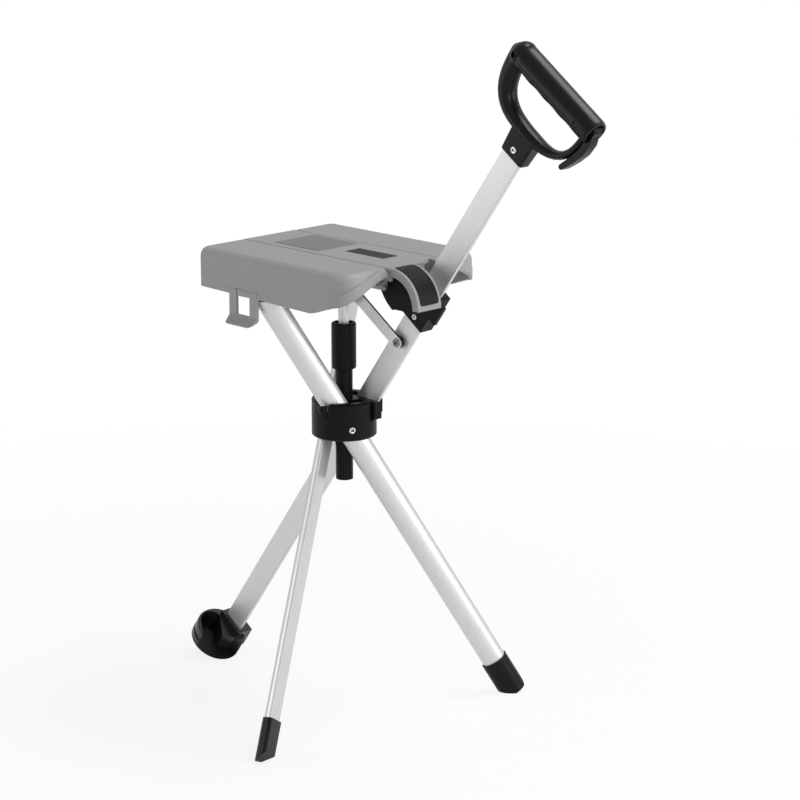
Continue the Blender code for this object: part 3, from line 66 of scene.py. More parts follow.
class Wire:
    """A shader socket that takes part in Python arithmetic."""

    def __init__(self, shading, socket):
        self.shading = shading
        self.socket = socket

    def maths(self, operation, first, second):
        return self.shading.node("ShaderNodeMath", {"operation": operation}, {0: first, 1: second})

    def __add__(self, other):
        return self.maths("ADD", self, other)

    def __radd__(self, other):
        return self.maths("ADD", other, self)

    def __sub__(self, other):
        return self.maths("SUBTRACT", self, other)

    def __rsub__(self, other):
        return self.maths("SUBTRACT", other, self)

    def __mul__(self, other):
        return self.maths("MULTIPLY", self, other)

    def __rmul__(self, other):
        return self.maths("MULTIPLY", other, self)

    def most(self, other):
        return self.maths("MAXIMUM", self, other)

    def swing(self, amount):
        """A noise's rise and fall about its middle, to the amount given."""
        return (self - 0.5) * amount


class Shading:
    """A node tree that takes a node by its kind, its settings and its inputs."""

    def __init__(self, tree):
        self.tree = tree

    def node(self, kind, settings, inputs, output=0):
        made = self.tree.nodes.new(kind)
        for key, value in settings.items():
            setattr(made, key, value)
        for key, value in inputs.items():
            self.feed(made.inputs[key], value)
        return Wire(self, made.outputs[output])

    def feed(self, socket, value):
        if isinstance(value, Wire):
            self.tree.links.new(value.socket, socket)
        else:
            socket.default_value = value

    def rays(self, kind):
        """1 for rays of this kind, 0 for the rest."""
        return self.node("ShaderNodeLightPath", {}, {}, kind)


class Finish(Shading):
    """One material, with the steps that its looks are made of."""

    # A Mix node's colour sockets share their names with its number sockets, so they go by place.
    MIX_DARK = 6
    MIX_LIGHT = 7
    MIX_RESULT = 2

    def __init__(self, name):
        self.material = bpy.data.materials.new(name)
        self.material.use_nodes = True
        super().__init__(self.material.node_tree)
        self.shader = self.tree.nodes["Principled BSDF"]

    def coat(self, **values):
        for key, value in values.items():
            self.feed(self.shader.inputs[key.replace("_", " ")], value)
        return self.material

    def place(self, turn=(0.0, 0.0, 0.0)):
        where = self.node("ShaderNodeTexCoord", {}, {}, "Object")
        return self.node("ShaderNodeMapping", {}, {"Vector": where, "Rotation": turn})

    def noise(self, where, scale, detail, roughness=0.5):
        return self.node(
            "ShaderNodeTexNoise", {},
            {"Vector": where, "Scale": scale, "Detail": detail, "Roughness": roughness})

    def tint(self, share, dark, light):
        return self.node(
            "ShaderNodeMix", {"data_type": "RGBA"},
            {"Factor": share, self.MIX_DARK: (*dark, 1.0), self.MIX_LIGHT: (*light, 1.0)}, self.MIX_RESULT)

    def relief(self, height, strength, distance):
        return self.node(
            "ShaderNodeBump", {}, {"Height": height, "Strength": strength, "Distance": distance})


def light_world():
    """White surroundings for the eye, dimmer in reflections and dimmer still as a lamp."""
    world = bpy.data.worlds.new("studio")
    world.use_nodes = True
    scene.world = world
    sky = Shading(world.node_tree)
    mirrored = sky.rays("Is Glossy Ray") * MIRROR_SHARE + sky.rays("Is Transmission Ray")
    seen = sky.rays("Is Camera Ray").most(mirrored)
    background = world.node_tree.nodes["Background"]
    sky.feed(background.inputs["Color"], WHITE)
    sky.feed(background.inputs["Strength"], WORLD_LEVEL + seen * (1.0 - WORLD_LEVEL))


def lamp(name, place, target, size, power):
    """A square soft box that looks at the object."""
    bpy.ops.object.select_all(action="DESELECT")
    bpy.ops.object.light_add(type="AREA", location=place)
    light = bpy.context.object
    light.name = name
    light.data.size = size
    light.data.energy = power
    light.rotation_euler = (Vector(target) - Vector(place)).to_track_quat("-Z", "Y").to_euler()


def floor_finish():
    """White that glows to the camera, a little less near the feet, where the shadow shows."""
    finish = Finish("studio_floor")
    finish.coat(Base_Color=FLOOR_COLOUR, Roughness=0.9)
    apart = finish.node("ShaderNodeVectorMath", {"operation": "LENGTH"}, {0: finish.place()}, "Value")
    clean = finish.node("ShaderNodeMapRange", {}, {
        "Value": apart, "From Min": SHADOW_NEAR, "From Max": SHADOW_FAR,
        "To Min": SHADOW_GLOW, "To Max": 1.0})
    seen = finish.rays("Is Camera Ray").most(finish.rays("Is Glossy Ray") * MIRROR_SHARE)
    share = seen.most(finish.rays("Is Transmission Ray")) * clean
    lit = Wire(finish, finish.shader.outputs[0])
    glow = finish.node("ShaderNodeEmission", {}, {"Color": WHITE})
    mix = finish.node("ShaderNodeMixShader", {}, {0: share, 1: lit, 2: glow})
    finish.feed(finish.tree.nodes["Material Output"].inputs["Surface"], mix)
    return finish.material


light_world()
for softbox in SOFTBOXES:
    lamp(*softbox)
bpy.ops.object.select_all(action="DESELECT")
bpy.ops.mesh.primitive_plane_add(size=FLOOR_SIZE, location=(0.0, 0.0, FLOOR_HEIGHT))
floor = bpy.context.object
floor.name = "studio_floor"
floor.data.materials.append(floor_finish())
bpy.ops.object.camera_add(location=CAMERA_PLACE)
camera = bpy.context.object
look = Vector((
    -math.cos(CAMERA_RISE) * math.cos(CAMERA_AZIMUTH),
    -math.cos(CAMERA_RISE) * math.sin(CAMERA_AZIMUTH), -math.sin(CAMERA_RISE)))
camera.rotation_euler = look.to_track_quat("-Z", "Y").to_euler()
camera.data.sensor_width = CAMERA_FILM
camera.data.lens = CAMERA_LENS
scene.camera = camera

# Hub and guide: a black nylon moulding with slots for the three tubes and a long guide tube through it.
# It comes from the mould with a fine spark-eroded grain. Grooves edge the raised panel between the
# slots, and the guard beside the stick has its corner trimmed off.
WELD = 0.000002
FLAT_WITHIN = math.radians(0.6)
SHADE_MARGIN = 8.0
GUARD_TRIM = 0.0396
TRIM_BLOCK = (0.04, 0.08, 0.06)
TRIM_HEIGHT = 0.315
TRIM_TURN = math.radians(45.0)
GROOVE_INSIDE = 0.0340
GROOVE_OUTSIDE = 0.0375
GROOVE_LOW = 0.3136
GROOVE_WIDE = 0.0014
GROOVE_TURN = math.radians(2.4)
HUB_TOP = 0.336
PANEL_START = math.radians(-70.5)
PANEL_SPAN = math.radians(80.0)


def black_nylon(name, low=0.003, high=0.006, rough=0.36, shine=0.12, texture=0.1):
    """Matt moulded black, a touch cool, with a fine even grain."""
    cool = 1.04
    finish = Finish(name)
    where = finish.place()
    grain = finish.noise(where, scale=2600.0, detail=2.0)
    cloud = finish.noise(where, scale=38.0, detail=3.0)
    return finish.coat(
        Base_Color=finish.tint(cloud, dark=(low, low, low * cool), light=(high, high, high * cool)),
        Roughness=rough + cloud.swing(0.12), Specular_IOR_Level=shine,
        Normal=finish.relief(grain, strength=texture, distance=0.0001))


def eased(piece, width, steps=2, crease=30.0):
    """Rounds every edge of a piece that is sharper than the crease."""
    ease = piece.modifiers.new("ease", "BEVEL")
    ease.width = width
    ease.segments = steps
    ease.limit_method = "ANGLE"
    ease.angle_limit = math.radians(crease)
    bpy.ops.object.modifier_apply(modifier=ease.name)


def settled(piece, body, crease):
    """Smooth shading with flat faces kept flat, and the body that the piece moves with."""
    bpy.ops.object.select_all(action="DESELECT")
    piece.select_set(True)
    bpy.context.view_layer.objects.active = piece
    bpy.ops.object.shade_smooth_by_angle(angle=math.radians(crease))
    flats = piece.modifiers.new("flats", "WEIGHTED_NORMAL")
    flats.keep_sharp = True
    bpy.ops.object.modifier_apply(modifier=flats.name)
    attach(piece, body)


def dressed(node, body, material, round_off=0.0003, crease=30.0, steps=2, shaped=None):
    """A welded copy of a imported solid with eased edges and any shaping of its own, in place of it."""
    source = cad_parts[node]
    bpy.ops.object.select_all(action="DESELECT")
    source.select_set(True)
    bpy.context.view_layer.objects.active = source
    bpy.ops.object.duplicate()
    piece = bpy.context.object
    piece.name = node + "_skin"
    for key in [key for key in piece.keys() if key.startswith("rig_")]:
        del piece[key]
    piece.parent = None
    piece.data.materials.clear()
    piece.data.materials.append(material)
    bpy.ops.object.mode_set(mode="EDIT")
    bpy.ops.mesh.select_all(action="SELECT")
    bpy.ops.mesh.remove_doubles(threshold=WELD)
    bpy.ops.mesh.dissolve_limited(angle_limit=FLAT_WITHIN)
    bpy.ops.object.mode_set(mode="OBJECT")
    if round_off > 0.0:
        eased(piece, round_off, steps, crease)
    if shaped:
        shaped(piece)
    settled(piece, body, crease + SHADE_MARGIN)
    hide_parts(node)


def carved(piece, waste, keep_look=False):
    """Takes the waste's room out of a piece, lined with the waste's look if that is kept."""
    step = piece.modifiers.new("carve", "BOOLEAN")
    step.operation = "DIFFERENCE"
    step.solver = "EXACT"
    step.object = waste
    if keep_look:
        step.material_mode = "TRANSFER"
    bpy.ops.object.select_all(action="DESELECT")
    piece.select_set(True)
    bpy.context.view_layer.objects.active = piece
    bpy.ops.object.modifier_apply(modifier=step.name)
    bpy.data.objects.remove(waste, do_unlink=True)


def block(middle, size, turn=(0.0, 0.0, 0.0)):
    """A block of waste, or the start of a flat piece."""
    bpy.ops.object.select_all(action="DESELECT")
    bpy.ops.mesh.primitive_cube_add(size=1.0, location=middle, rotation=turn)
    made = bpy.context.object
    made.scale = size
    bpy.ops.object.transform_apply(location=True, rotation=True, scale=True)
    return made


def swept(name, material, section, span, turn, centre, axis, angle, steps):
    """A plane of the section's size, spun about an axis into a closed band.

    With no window, spin turns against its axis, so the angle changes sign here, and a positive one
    is then counter-clockwise, seen with the axis pointing at the eye.
    """
    bpy.ops.object.select_all(action="DESELECT")
    bpy.ops.mesh.primitive_plane_add(size=1.0, location=section, rotation=turn)
    band = bpy.context.object
    band.name = name
    band.scale = (*span, 1.0)
    bpy.ops.object.transform_apply(location=True, rotation=True, scale=True)
    band.data.materials.append(material)
    bpy.ops.object.mode_set(mode="EDIT")
    bpy.ops.mesh.select_all(action="SELECT")
    bpy.ops.mesh.spin(steps=steps, angle=-angle, center=centre, axis=axis)
    bpy.ops.mesh.select_all(action="SELECT")
    bpy.ops.mesh.remove_doubles(threshold=WELD)
    bpy.ops.mesh.normals_make_consistent(inside=False)
    bpy.ops.object.mode_set(mode="OBJECT")
    return band


nylon = black_nylon("hub_black_nylon")


def hub_groove(start, span, low, high):
    """The room of one groove that edges the hub's panel."""
    middle = (GROOVE_INSIDE + GROOVE_OUTSIDE) / 2
    return swept(
        "groove_room", nylon,
        section=(middle * math.cos(start), middle * math.sin(start), (low + high) / 2),
        span=(GROOVE_OUTSIDE - GROOVE_INSIDE, high - low), turn=(math.pi / 2, 0.0, start),
        centre=(0.0, 0.0, 0.0), axis=(0.0, 0.0, 1.0), angle=span, steps=max(int(span / GROOVE_TURN), 1))


def hub_shape(ring):
    """Trims the guard's corner and cuts the grooves down both ends of the panel and along its foot."""
    reach = (GUARD_TRIM + TRIM_BLOCK[0] / 2) * math.sqrt(0.5)
    carved(ring, block((reach, reach, TRIM_HEIGHT), TRIM_BLOCK, (0.0, 0.0, TRIM_TURN)))
    first = PANEL_START - GROOVE_TURN
    carved(ring, hub_groove(first, GROOVE_TURN, GROOVE_LOW, HUB_TOP))
    carved(ring, hub_groove(PANEL_START + PANEL_SPAN, GROOVE_TURN, GROOVE_LOW, HUB_TOP))
    carved(ring, hub_groove(first, PANEL_SPAN + 2 * GROOVE_TURN, GROOVE_LOW, GROOVE_LOW + GROOVE_WIDE))


dressed("hub_ring", "hub", nylon, round_off=0.0005, shaped=hub_shape)
dressed("guide_tube", "hub", nylon)
dressed("guide_collar", "hub", nylon, round_off=0.0004)

# Hub lug: a small hooked rib on the hub's side, next to the stick's slot, moulded in one with the hub.
# Its outer part starts higher than its root, so that it hangs clear below.
LUG_PLAN = (
    (0.0315, 0.006), (0.0375, 0.006), (0.039, 0.0075), (0.039, 0.016),
    (0.038, 0.0164), (0.0369, 0.0164), (0.0369, 0.0126), (0.031, 0.0126))
LUG_BLANK = 0.004
LUG_LOW = 0.3125
LUG_HIGH = 0.3348
LUG_OUTER = 0.0365
LUG_FOOT = 0.004
bpy.ops.object.select_all(action="DESELECT")
bpy.ops.mesh.primitive_circle_add(
    vertices=len(LUG_PLAN), radius=LUG_BLANK, fill_type="NGON", location=(0.0, 0.0, 0.0))
hub_lug = bpy.context.object
hub_lug.name = "hub_lug"
hub_lug.data.materials.append(nylon)
for corner, (x, y) in zip(hub_lug.data.vertices, LUG_PLAN):
    corner.co = (x, y, LUG_LOW)
bpy.ops.object.mode_set(mode="EDIT")
bpy.ops.mesh.select_all(action="SELECT")
bpy.ops.mesh.extrude_region_move(TRANSFORM_OT_translate={"value": (0.0, 0.0, LUG_HIGH - LUG_LOW)})
bpy.ops.mesh.select_all(action="SELECT")
bpy.ops.mesh.normals_make_consistent(inside=False)
bpy.ops.object.mode_set(mode="OBJECT")
for corner in hub_lug.data.vertices:
    if corner.co.z < (LUG_LOW + LUG_HIGH) / 2 and corner.co.x > LUG_OUTER:
        corner.co.z += LUG_FOOT
eased(hub_lug, width=0.0005)
settled(hub_lug, "hub", crease=38.0)

# Hub screws: plated steel screws with a cross recess, one through each slot, that the tubes turn on.
# Each is driven in square to its tube, and its recess is lined with near-black steel as painted shade.
RIGHT_LEG_AZIMUTH = math.radians(241.0)
FRONT_LEG_AZIMUTH = math.radians(115.0)
HEAD_FLAT = 0.00002
BLADE_WIDE = 0.24
BLADE_DEEP = 0.5
HUB_RECESS = 0.0046


def zinc_steel(name, low=0.52, high=0.74):
    """Plated screw steel with a turned sheen."""
    cool = 1.01
    finish = Finish(name)
    where = finish.place()
    grit = finish.noise(where, scale=900.0, detail=3.0)
    return finish.coat(
        Base_Color=finish.tint(grit, dark=(low, low, low * cool), light=(high, high, high * cool)),
        Metallic=1.0, Roughness=0.2 + grit * 0.18)


def cross_recess(outward, span):
    """A shaping step that sinks a cross for the driver into a screw's head and lines it with painted shade.
    """

    def sink(screw):
        reach = max(corner.co.dot(outward) for corner in screw.data.vertices)
        face = [corner.co for corner in screw.data.vertices if corner.co.dot(outward) > reach - HEAD_FLAT]
        centre = sum(face, Vector()) / len(face)
        upright = outward.to_track_quat("Z", "Y")
        for quarter in (math.pi / 4, 3 * math.pi / 4):
            turn = upright @ Quaternion((0.0, 0.0, 1.0), quarter)
            blade = block(centre, (span, span * BLADE_WIDE, span * BLADE_DEEP), turn.to_euler())
            # The recess faces take a near-black steel, painted shade for the hollow.
            blade.data.materials.append(recess_painted_shade_steel)
            carved(screw, blade, keep_look=True)

    return sink


steel = zinc_steel("plated_screw_steel")
# Near-black steel that lines the screw recesses as painted shade.
recess_painted_shade_steel = zinc_steel("screw_recess_painted_shade", low=0.02, high=0.05)
for node, azimuth in (
        ("shaft_hub_screw", 0.0), ("right_leg_hub_screw", RIGHT_LEG_AZIMUTH),
        ("front_leg_hub_screw", FRONT_LEG_AZIMUTH)):
    outward = Vector((-math.sin(azimuth), math.cos(azimuth), 0.0))
    dressed(node, "hub", steel, round_off=0.0004, shaped=cross_recess(outward, HUB_RECESS))

# Legs and stick: extruded D-section aluminium tubes, satin anodised, with drawn marks along the length.
# Rubber boots are pushed over the legs' lower ends, black caps close the upper ones, and a nylon bush
# in each tube keeps it from being crushed by its hub screw.
SHAFT_TILT = math.radians(35.9)
LEG_TILT = math.radians(30.7)


def satin_aluminium(name, tilt, azimuth):
    """Anodised aluminium with faint streaks along the tube."""
    finish = Finish(name)
    turn = Matrix.Rotation(-tilt, 3, "Y") @ Matrix.Rotation(-azimuth, 3, "Z")
    where = finish.place(turn.to_euler())
    drawn = finish.node("ShaderNodeMapping", {}, {"Vector": where, "Scale": (900.0, 900.0, 9.0)})
    streak = finish.noise(drawn, scale=1.0, detail=2.0)
    cloud = finish.noise(where, scale=22.0, detail=2.0)
    return finish.coat(
        Base_Color=finish.tint(streak, dark=(0.64, 0.64, 0.65), light=(0.72, 0.72, 0.73)),
        Metallic=0.7, Roughness=0.42 + streak.swing(0.1) + cloud.swing(0.05),
        Normal=finish.relief(streak, strength=0.03, distance=0.0001))


def boot_rubber(name):
    """Black rubber with a soft shine from the mould."""
    finish = Finish(name)
    where = finish.place()
    grain = finish.noise(where, scale=1500.0, detail=3.0)
    scuff = finish.noise(where, scale=60.0, detail=4.0, roughness=0.6)
    return finish.coat(
        Base_Color=finish.tint(scuff, dark=(0.003, 0.003, 0.003), light=(0.006, 0.006, 0.006)),
        Roughness=0.32 + scuff * 0.12, Specular_IOR_Level=0.16,
        Normal=finish.relief(grain, strength=0.08, distance=0.0002))


rubber = boot_rubber("boot_rubber")
for leg, azimuth in (("right_leg", RIGHT_LEG_AZIMUTH), ("front_leg", FRONT_LEG_AZIMUTH)):
    leg_aluminium = satin_aluminium(leg + "_aluminium", LEG_TILT, azimuth)
    dressed(leg + "_tube", leg, leg_aluminium, round_off=0.0002, crease=40.0)
    dressed(leg + "_bush", leg, nylon, round_off=0.0)
    dressed(leg + "_boot", leg, rubber, round_off=0.0016, crease=34.0, steps=4)
    dressed(leg + "_cap", leg, nylon, round_off=0.0006, crease=34.0)
stick_aluminium = satin_aluminium("stick_aluminium", SHAFT_TILT, 0.0)
dressed("main_shaft_tube", "stick", stick_aluminium, round_off=0.0002, crease=40.0)
dressed("shaft_pivot_bush", "stick", nylon, round_off=0.0)

# Cane tip: the stick's foot, a glossy black moulding that is pushed over the tube's lower end.
# It is open on one side, with pockets for the two boots when the legs are folded, and a rubber tread
# is pressed on under it.
tip_black = black_nylon("tip_black", low=0.010, high=0.015, rough=0.26, shine=0.5, texture=0.03)
dressed("cane_tip", "stick", tip_black, round_off=0.001, crease=24.0, steps=3)
dressed("cane_tip_pad", "stick", rubber, round_off=0.0008, crease=24.0, steps=3)

# Handle: a D-handle of two smooth black nylon shells, screwed together round the stick's upper end.
# Screws painted near black, as painted shade for the dark holes they sit in, join the grip, a plated one
# goes through the socket, and a hook lever for a table's edge turns on a pin at the corner.
TOWARDS_NEAR_SIDE = Vector((0.0, -1.0, 0.0))
GRIP_RECESS = 0.0036
SOCKET_RECESS = 0.004


def screw_steel_painted_dark(name):
    """Screw steel painted near black as painted shade for the dark holes it sits in."""
    finish = Finish(name)
    where = finish.place()
    grit = finish.noise(where, scale=1100.0, detail=3.0)
    return finish.coat(
        Base_Color=finish.tint(grit, dark=(0.012, 0.012, 0.013), light=(0.03, 0.03, 0.032)),
        Metallic=0.6, Roughness=0.34 + grit * 0.2)


handle_black = black_nylon("handle_black", low=0.003, high=0.005, rough=0.3, shine=0.2, texture=0.006)
for node in ("handle_shell_near", "handle_shell_far"):
    dressed(node, "stick", handle_black, round_off=0.0004, crease=40.0)
shade_black_steel = screw_steel_painted_dark("screw_steel_painted_shade")
# These screws are painted near black as painted shade for the holes they sit in.
for node in ("handle_screw_left", "handle_screw_right"):
    dressed(node, "stick", shade_black_steel, shaped=cross_recess(TOWARDS_NEAR_SIDE, GRIP_RECESS))
dressed(
    "socket_screw", "stick", steel, round_off=0.0004, shaped=cross_recess(TOWARDS_NEAR_SIDE, SOCKET_RECESS))
dressed("hook_pin", "stick", steel, round_off=0.0002)
dressed("table_hook", "hook", handle_black, round_off=0.0016, crease=26.0, steps=4)

# Grip end: the rounded end of the grip away from the hook, moulded in one with the shells.
# A round well in its near side leads to the left screw.
STICK_BASE = Vector((0.0, 0.0189, 0.3075))
GRIP_HEIGHT = 0.4545
GRIP_END = -0.0490
GRIP_END_SIZE = (0.0117, 0.0139, 0.0139)
GRIP_SCREW = -0.0515
WELL_RADIUS = 0.0031
WELL_LENGTH = 0.02
WELL_MIDDLE = Vector((0.0, -0.0174, 0.0))


def on_stick(across, along):
    """A point beside the stick's own line, in the stick's plane."""
    return STICK_BASE + Matrix.Rotation(SHAFT_TILT, 3, "Y") @ Vector((across, 0.0, along))


bpy.ops.object.select_all(action="DESELECT")
bpy.ops.mesh.primitive_uv_sphere_add(
    segments=40, ring_count=24, radius=1.0,
    location=on_stick(GRIP_END, GRIP_HEIGHT), rotation=(0.0, SHAFT_TILT, 0.0))
grip_nose = bpy.context.object
grip_nose.name = "grip_nose"
grip_nose.scale = GRIP_END_SIZE
bpy.ops.object.transform_apply(location=True, rotation=True, scale=True)
grip_nose.data.materials.append(handle_black)
bpy.ops.object.select_all(action="DESELECT")
bpy.ops.mesh.primitive_cylinder_add(
    vertices=28, radius=WELL_RADIUS, depth=WELL_LENGTH,
    location=on_stick(GRIP_SCREW, GRIP_HEIGHT) + WELL_MIDDLE, rotation=(math.pi / 2, 0.0, 0.0))
well = bpy.context.object
bpy.ops.object.transform_apply(location=True, rotation=True, scale=True)
carved(grip_nose, well)
settled(grip_nose, "stick", crease=50.0)

# Seat bracket: a black nylon sleeve in two halves, screwed together round the stick.
# Its near half carries the drum that the seat's arch sits on, cut back where the lower screw shows.
# Below it, the link turns on a duller steel screw with a nylon spacer.
DRUM_TRIM_MIDDLE = (0.1315, -0.0145, 0.4284)
DRUM_TRIM_SIZE = (0.06, 0.044, 0.04)
SLEEVE_RECESS = 0.0036
PIVOT_RECESS = 0.0048


def drum_trim(bracket):
    """Cuts the drum back beside the sleeve's lower screw."""
    carved(bracket, block(DRUM_TRIM_MIDDLE, DRUM_TRIM_SIZE))


dressed("seat_bracket", "stick", nylon, round_off=0.0006, shaped=drum_trim)
dressed("bracket_clamp", "stick", nylon, round_off=0.0006)
for node in ("bracket_screw_lower", "bracket_screw_upper"):
    dressed(node, "stick", steel, round_off=0.0, shaped=cross_recess(TOWARDS_NEAR_SIDE, SLEEVE_RECESS))
dull_steel = zinc_steel("dull_pivot_steel", low=0.16, high=0.3)
dressed("link_pivot_screw", "stick", dull_steel, shaped=cross_recess(TOWARDS_NEAR_SIDE, PIVOT_RECESS))
dressed("link_spacer", "stick", nylon)

# Link and rod: a flat aluminium bar, punched from sheet, that ties the stick to the rod's head.
# The aluminium rod slides in the hub's guide and carries the seat on its nylon head, and the link and
# the seat's strip turn on a steel pin through that head.
LINK_LEAN = math.radians(-55.7)
EDGE_FACING = 0.3
HEAD_PIN_RECESS = 0.0044


def painted_shade_edge(name):
    """The link's punched edge, painted dark as painted shade for the shadow that falls on it."""
    finish = Finish(name)
    where = finish.place()
    shade_mottle = finish.noise(where, scale=700.0, detail=4.0, roughness=0.6)
    return finish.coat(
        Base_Color=finish.tint(shade_mottle, dark=(0.02, 0.02, 0.02), light=(0.06, 0.06, 0.06)),
        Metallic=0.5, Roughness=0.5 + shade_mottle * 0.2)


def edges_painted_dark_shade(link):
    """Paints the bar's edge faces dark, as painted shade."""
    link.data.materials.append(painted_shade_edge("link_edge_painted_shade"))
    for face in link.data.polygons:
        if abs(face.normal.y) < EDGE_FACING:
            face.material_index = 1


# The bar's edge faces are painted dark as painted shade.
dressed("link_bar", "link", satin_aluminium("link_aluminium", LINK_LEAN, 0.0), shaped=edges_painted_dark_shade)
dressed("centre_rod", "rod", satin_aluminium("rod_aluminium", 0.0, 0.0), round_off=0.0004)
dressed("rod_head", "rod", nylon, round_off=0.0006)
dressed("rod_head_pin", "rod", steel, shaped=cross_recess(TOWARDS_NEAR_SIDE, HEAD_PIN_RECESS))

# Seat panels: three grey polypropylene mouldings, a middle strip on the rod head and two hinged wings.
# The strip ends in the arch over the bracket's drum, the near wing has the clip and the far one its
# catch, and all three share a fine moulded texture.


def seat_grey(name):
    """Mid-grey polypropylene with a fine moulded texture."""
    finish = Finish(name)
    where = finish.place()
    grain = finish.noise(where, scale=1900.0, detail=3.0, roughness=0.6)
    cloud = finish.noise(where, scale=14.0, detail=3.0)
    return finish.coat(
        Base_Color=finish.tint(cloud, dark=(0.285, 0.285, 0.285), light=(0.325, 0.325, 0.325)),
        Roughness=0.5 + cloud.swing(0.12) + grain.swing(0.1),
        Normal=finish.relief(grain, strength=0.16, distance=0.0002))


grey = seat_grey("seat_grey_plastic")
for node, body in (("seat_centre_panel", "seat"), ("near_wing", "near_wing"), ("far_wing", "far_wing")):
    dressed(node, body, grey, round_off=0.0011, steps=3)

# End bands: a lip moulded round each wing's right end, from the seam to the rim's corner.
# Its top edge stays crisp where the panel falls towards the rim, and its foot follows the swept edge.
BAND_CORNER = Vector((0.077, 0.0706, 0.0))
BAND_RADIUS = 0.026
BAND_PROUD = 0.0008
BAND_ROOT = 0.0012
BAND_START = math.radians(31.0)
BAND_SEAM = 0.041
BAND_STEPS = 12
BAND_RUNS = 5
BAND_FOOT = (0.4551, 0.4816)
BAND_CREST = (0.4660, 0.4893)
BAND_LEAD = 0.85
FILLET_FOOT = 0.4801
FILLET_RADIUS = 0.010
SAME_PLACE = 0.00001


def climb(heights, share):
    """A height between the two, on a rise that starts and ends level."""
    return heights[0] + (heights[1] - heights[0]) * share * share * (3.0 - 2.0 * share)


def draw_to_seam(band, side):
    """Draws the band's free end on in even runs, straight from the corner to the seam."""
    run = (BAND_CORNER.y - BAND_SEAM) / BAND_RUNS
    for _ in range(BAND_RUNS):
        tip = min(side * corner.co.y for corner in band.data.vertices)
        bpy.ops.object.mode_set(mode="EDIT")
        bpy.ops.mesh.select_mode(type="FACE")
        bpy.ops.mesh.select_all(action="DESELECT")
        bpy.ops.object.mode_set(mode="OBJECT")
        for face in band.data.polygons:
            ends = [side * band.data.vertices[index].co.y for index in face.vertices]
            face.select = max(ends) < tip + SAME_PLACE
        bpy.ops.object.mode_set(mode="EDIT")
        bpy.ops.mesh.extrude_region_move(TRANSFORM_OT_translate={"value": (0.0, -side * run, 0.0)})
        bpy.ops.object.mode_set(mode="OBJECT")


def set_to_sweep(band, side, middle):
    """Moves the band's corners to the wing's wall, its crest and the swept edge at its foot."""
    bend = BAND_RADIUS * math.pi / 2
    whole = bend + BAND_CORNER.y - BAND_SEAM
    for corner in band.data.vertices:
        place = Vector((corner.co.x - BAND_CORNER.x, side * corner.co.y - BAND_CORNER.y))
        if place.y > 0.0:
            outward = place.normalized()
            wall = outward * BAND_RADIUS
            along = BAND_RADIUS * math.atan2(place.x, place.y)
            proud = place.length > BAND_RADIUS
        else:
            outward = Vector((1.0, 0.0))
            wall = Vector((BAND_RADIUS, place.y))
            along = bend - place.y
            proud = place.x > BAND_RADIUS
        share = along / whole
        crest = climb(BAND_CREST, share ** BAND_LEAD)
        high = corner.co.z > middle
        inset = BAND_ROOT
        if high and crest > FILLET_FOOT:
            inset += FILLET_RADIUS - math.sqrt(FILLET_RADIUS ** 2 - (crest - FILLET_FOOT) ** 2)
        spot = wall + outward * (BAND_PROUD if proud else -inset)
        height = crest if high else climb(BAND_FOOT, share)
        corner.co = (BAND_CORNER.x + spot.x, side * (BAND_CORNER.y + spot.y), height)


def wing_end_band(name, body, side):
    """A band spun round the wing's corner, drawn on to the seam and set to the wing's sweep."""
    middle = (BAND_FOOT[0] + BAND_CREST[0]) / 2
    reach = BAND_RADIUS + (BAND_PROUD - BAND_ROOT) / 2
    heading = side * (math.pi / 2 - BAND_START)
    corner_x = BAND_CORNER.x
    corner_y = side * BAND_CORNER.y
    band = swept(
        name, grey,
        section=(corner_x + reach * math.cos(heading), corner_y + reach * math.sin(heading), middle),
        span=(BAND_PROUD + BAND_ROOT, BAND_CREST[0] - BAND_FOOT[0]), turn=(math.pi / 2, 0.0, heading),
        centre=(corner_x, corner_y, 0.0), axis=(0.0, 0.0, 1.0), angle=-heading, steps=BAND_STEPS)
    draw_to_seam(band, side)
    set_to_sweep(band, side, middle)
    bpy.ops.object.mode_set(mode="EDIT")
    bpy.ops.mesh.select_all(action="SELECT")
    bpy.ops.mesh.normals_make_consistent(inside=False)
    bpy.ops.object.mode_set(mode="OBJECT")
    eased(band, width=0.0004, crease=40.0)
    settled(band, body, crease=40.0)


wing_end_band("near_wing_end_band", "near_wing", -1.0)
wing_end_band("far_wing_end_band", "far_wing", 1.0)

# Strip panel: a smooth black plastic plate, let into a pocket of the seat's middle strip.
# It lies flush in front of the arch and is stuck down.


def panel_black(name):
    """Smooth black plastic with a low, slightly uneven shine."""
    finish = Finish(name)
    where = finish.place()
    cloud = finish.noise(where, scale=120.0, detail=2.0)
    return finish.coat(
        Base_Color=finish.tint(cloud, dark=(0.008, 0.008, 0.009), light=(0.014, 0.014, 0.015)),
        Roughness=0.44 + cloud * 0.12, Specular_IOR_Level=0.14)


panel = panel_black("panel_black")
dressed("centre_inlay", "seat", panel, round_off=0.0002)

# Arch rim: the fuller grey edge along the arch's near side, moulded in one with the strip.
# It stands a little proud of the arch's near face, all the way from the strip down to the arch's end.
ARCH_X = 0.10467
ARCH_Z = 0.45209
ARCH_AXIS = (0.0, 1.0, 0.0)
ARCH_SPAN = math.radians(90.0)
RIB_INSIDE = 0.0298
RIB_OUTSIDE = 0.0377
RIB_NEAR = -0.0364
RIB_FAR = -0.0316
arch_rib = swept(
    "arch_rib", grey,
    section=(ARCH_X + (RIB_INSIDE + RIB_OUTSIDE) / 2, (RIB_NEAR + RIB_FAR) / 2, ARCH_Z),
    span=(RIB_OUTSIDE - RIB_INSIDE, RIB_FAR - RIB_NEAR), turn=(0.0, 0.0, 0.0),
    centre=(ARCH_X, 0.0, ARCH_Z), axis=ARCH_AXIS, angle=-ARCH_SPAN, steps=24)
eased(arch_rib, width=0.0007, steps=3)
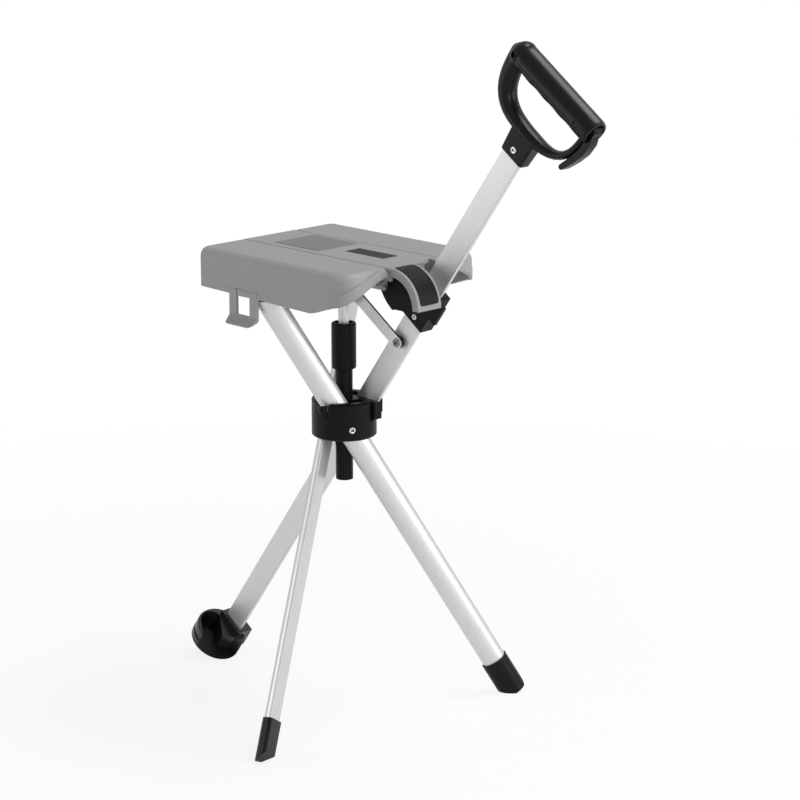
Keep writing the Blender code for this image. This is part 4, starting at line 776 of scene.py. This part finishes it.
settled(arch_rib, "seat", crease=38.0)

# Arch film: a smooth black film with round corners, bent over the arch and stuck down.
# It takes the place of the plain panel that is laid on the arch.
FILM_INSIDE = 0.0381
FILM_OUTSIDE = 0.0387
FILM_NEAR = -0.0325
FILM_FAR = -0.0075
FILM_START = math.radians(8.0)
FILM_SPAN = math.radians(80.0)
FILM_CORNER = 0.003
FILM_THICKEST = 0.001
CORNER_FACES = 3


def round_corners(film, radius):
    """Rounds a thin film's four corners, whose short edges have ends that three faces share."""
    bpy.ops.object.mode_set(mode="EDIT")
    bpy.ops.mesh.select_all(action="DESELECT")
    bpy.ops.mesh.select_mode(type="EDGE")
    bpy.ops.object.mode_set(mode="OBJECT")
    uses = {}
    for face in film.data.polygons:
        for index in face.vertices:
            uses[index] = uses.get(index, 0) + 1
    for edge in film.data.edges:
        first, last = (film.data.vertices[index].co for index in edge.vertices)
        at_corner = all(uses[index] == CORNER_FACES for index in edge.vertices)
        edge.select = at_corner and (first - last).length < FILM_THICKEST
    bpy.ops.object.mode_set(mode="EDIT")
    bpy.ops.mesh.bevel(offset=radius, segments=6, affect="EDGES")
    bpy.ops.object.mode_set(mode="OBJECT")


film_middle = (FILM_INSIDE + FILM_OUTSIDE) / 2
arch_film = swept(
    "arch_film", panel,
    section=(
        ARCH_X + film_middle * math.cos(FILM_START), (FILM_NEAR + FILM_FAR) / 2,
        ARCH_Z + film_middle * math.sin(FILM_START)),
    span=(FILM_OUTSIDE - FILM_INSIDE, FILM_FAR - FILM_NEAR), turn=(0.0, -FILM_START, 0.0),
    centre=(ARCH_X, 0.0, ARCH_Z), axis=ARCH_AXIS, angle=-FILM_SPAN, steps=12)
round_corners(arch_film, FILM_CORNER)
settled(arch_film, "seat", crease=38.0)
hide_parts("arch_inlay")

# Label film: a bare square of smooth film, a little darker than the seat, with round corners.
# It is stuck on the middle strip behind the black panel.
LABEL_MIDDLE = (-0.0425, 0.002, 0.49025)
LABEL_SIZE = (0.065, 0.056, 0.0004)
LABEL_CORNER = 0.002


def film_grey(name):
    """Plain smooth film, a little darker than the seat."""
    finish = Finish(name)
    where = finish.place()
    cloud = finish.noise(where, scale=60.0, detail=2.0)
    return finish.coat(
        Base_Color=finish.tint(cloud, dark=(0.15, 0.15, 0.152), light=(0.18, 0.18, 0.182)),
        Roughness=0.38 + cloud * 0.1, Specular_IOR_Level=0.3)


label_film = block(LABEL_MIDDLE, LABEL_SIZE)
label_film.name = "label_film"
label_film.data.materials.append(film_grey("label_film_grey"))
round_corners(label_film, LABEL_CORNER)
settled(label_film, "seat", crease=38.0)

# Hinge rods: two plated steel rods along the seams, one for each wing.
# Each is pushed lengthwise through the knuckles of the strip and of its wing, which turns on it.
for node in ("near_hinge_rod", "far_hinge_rod"):
    dressed(node, "seat", steel, round_off=0.0002)
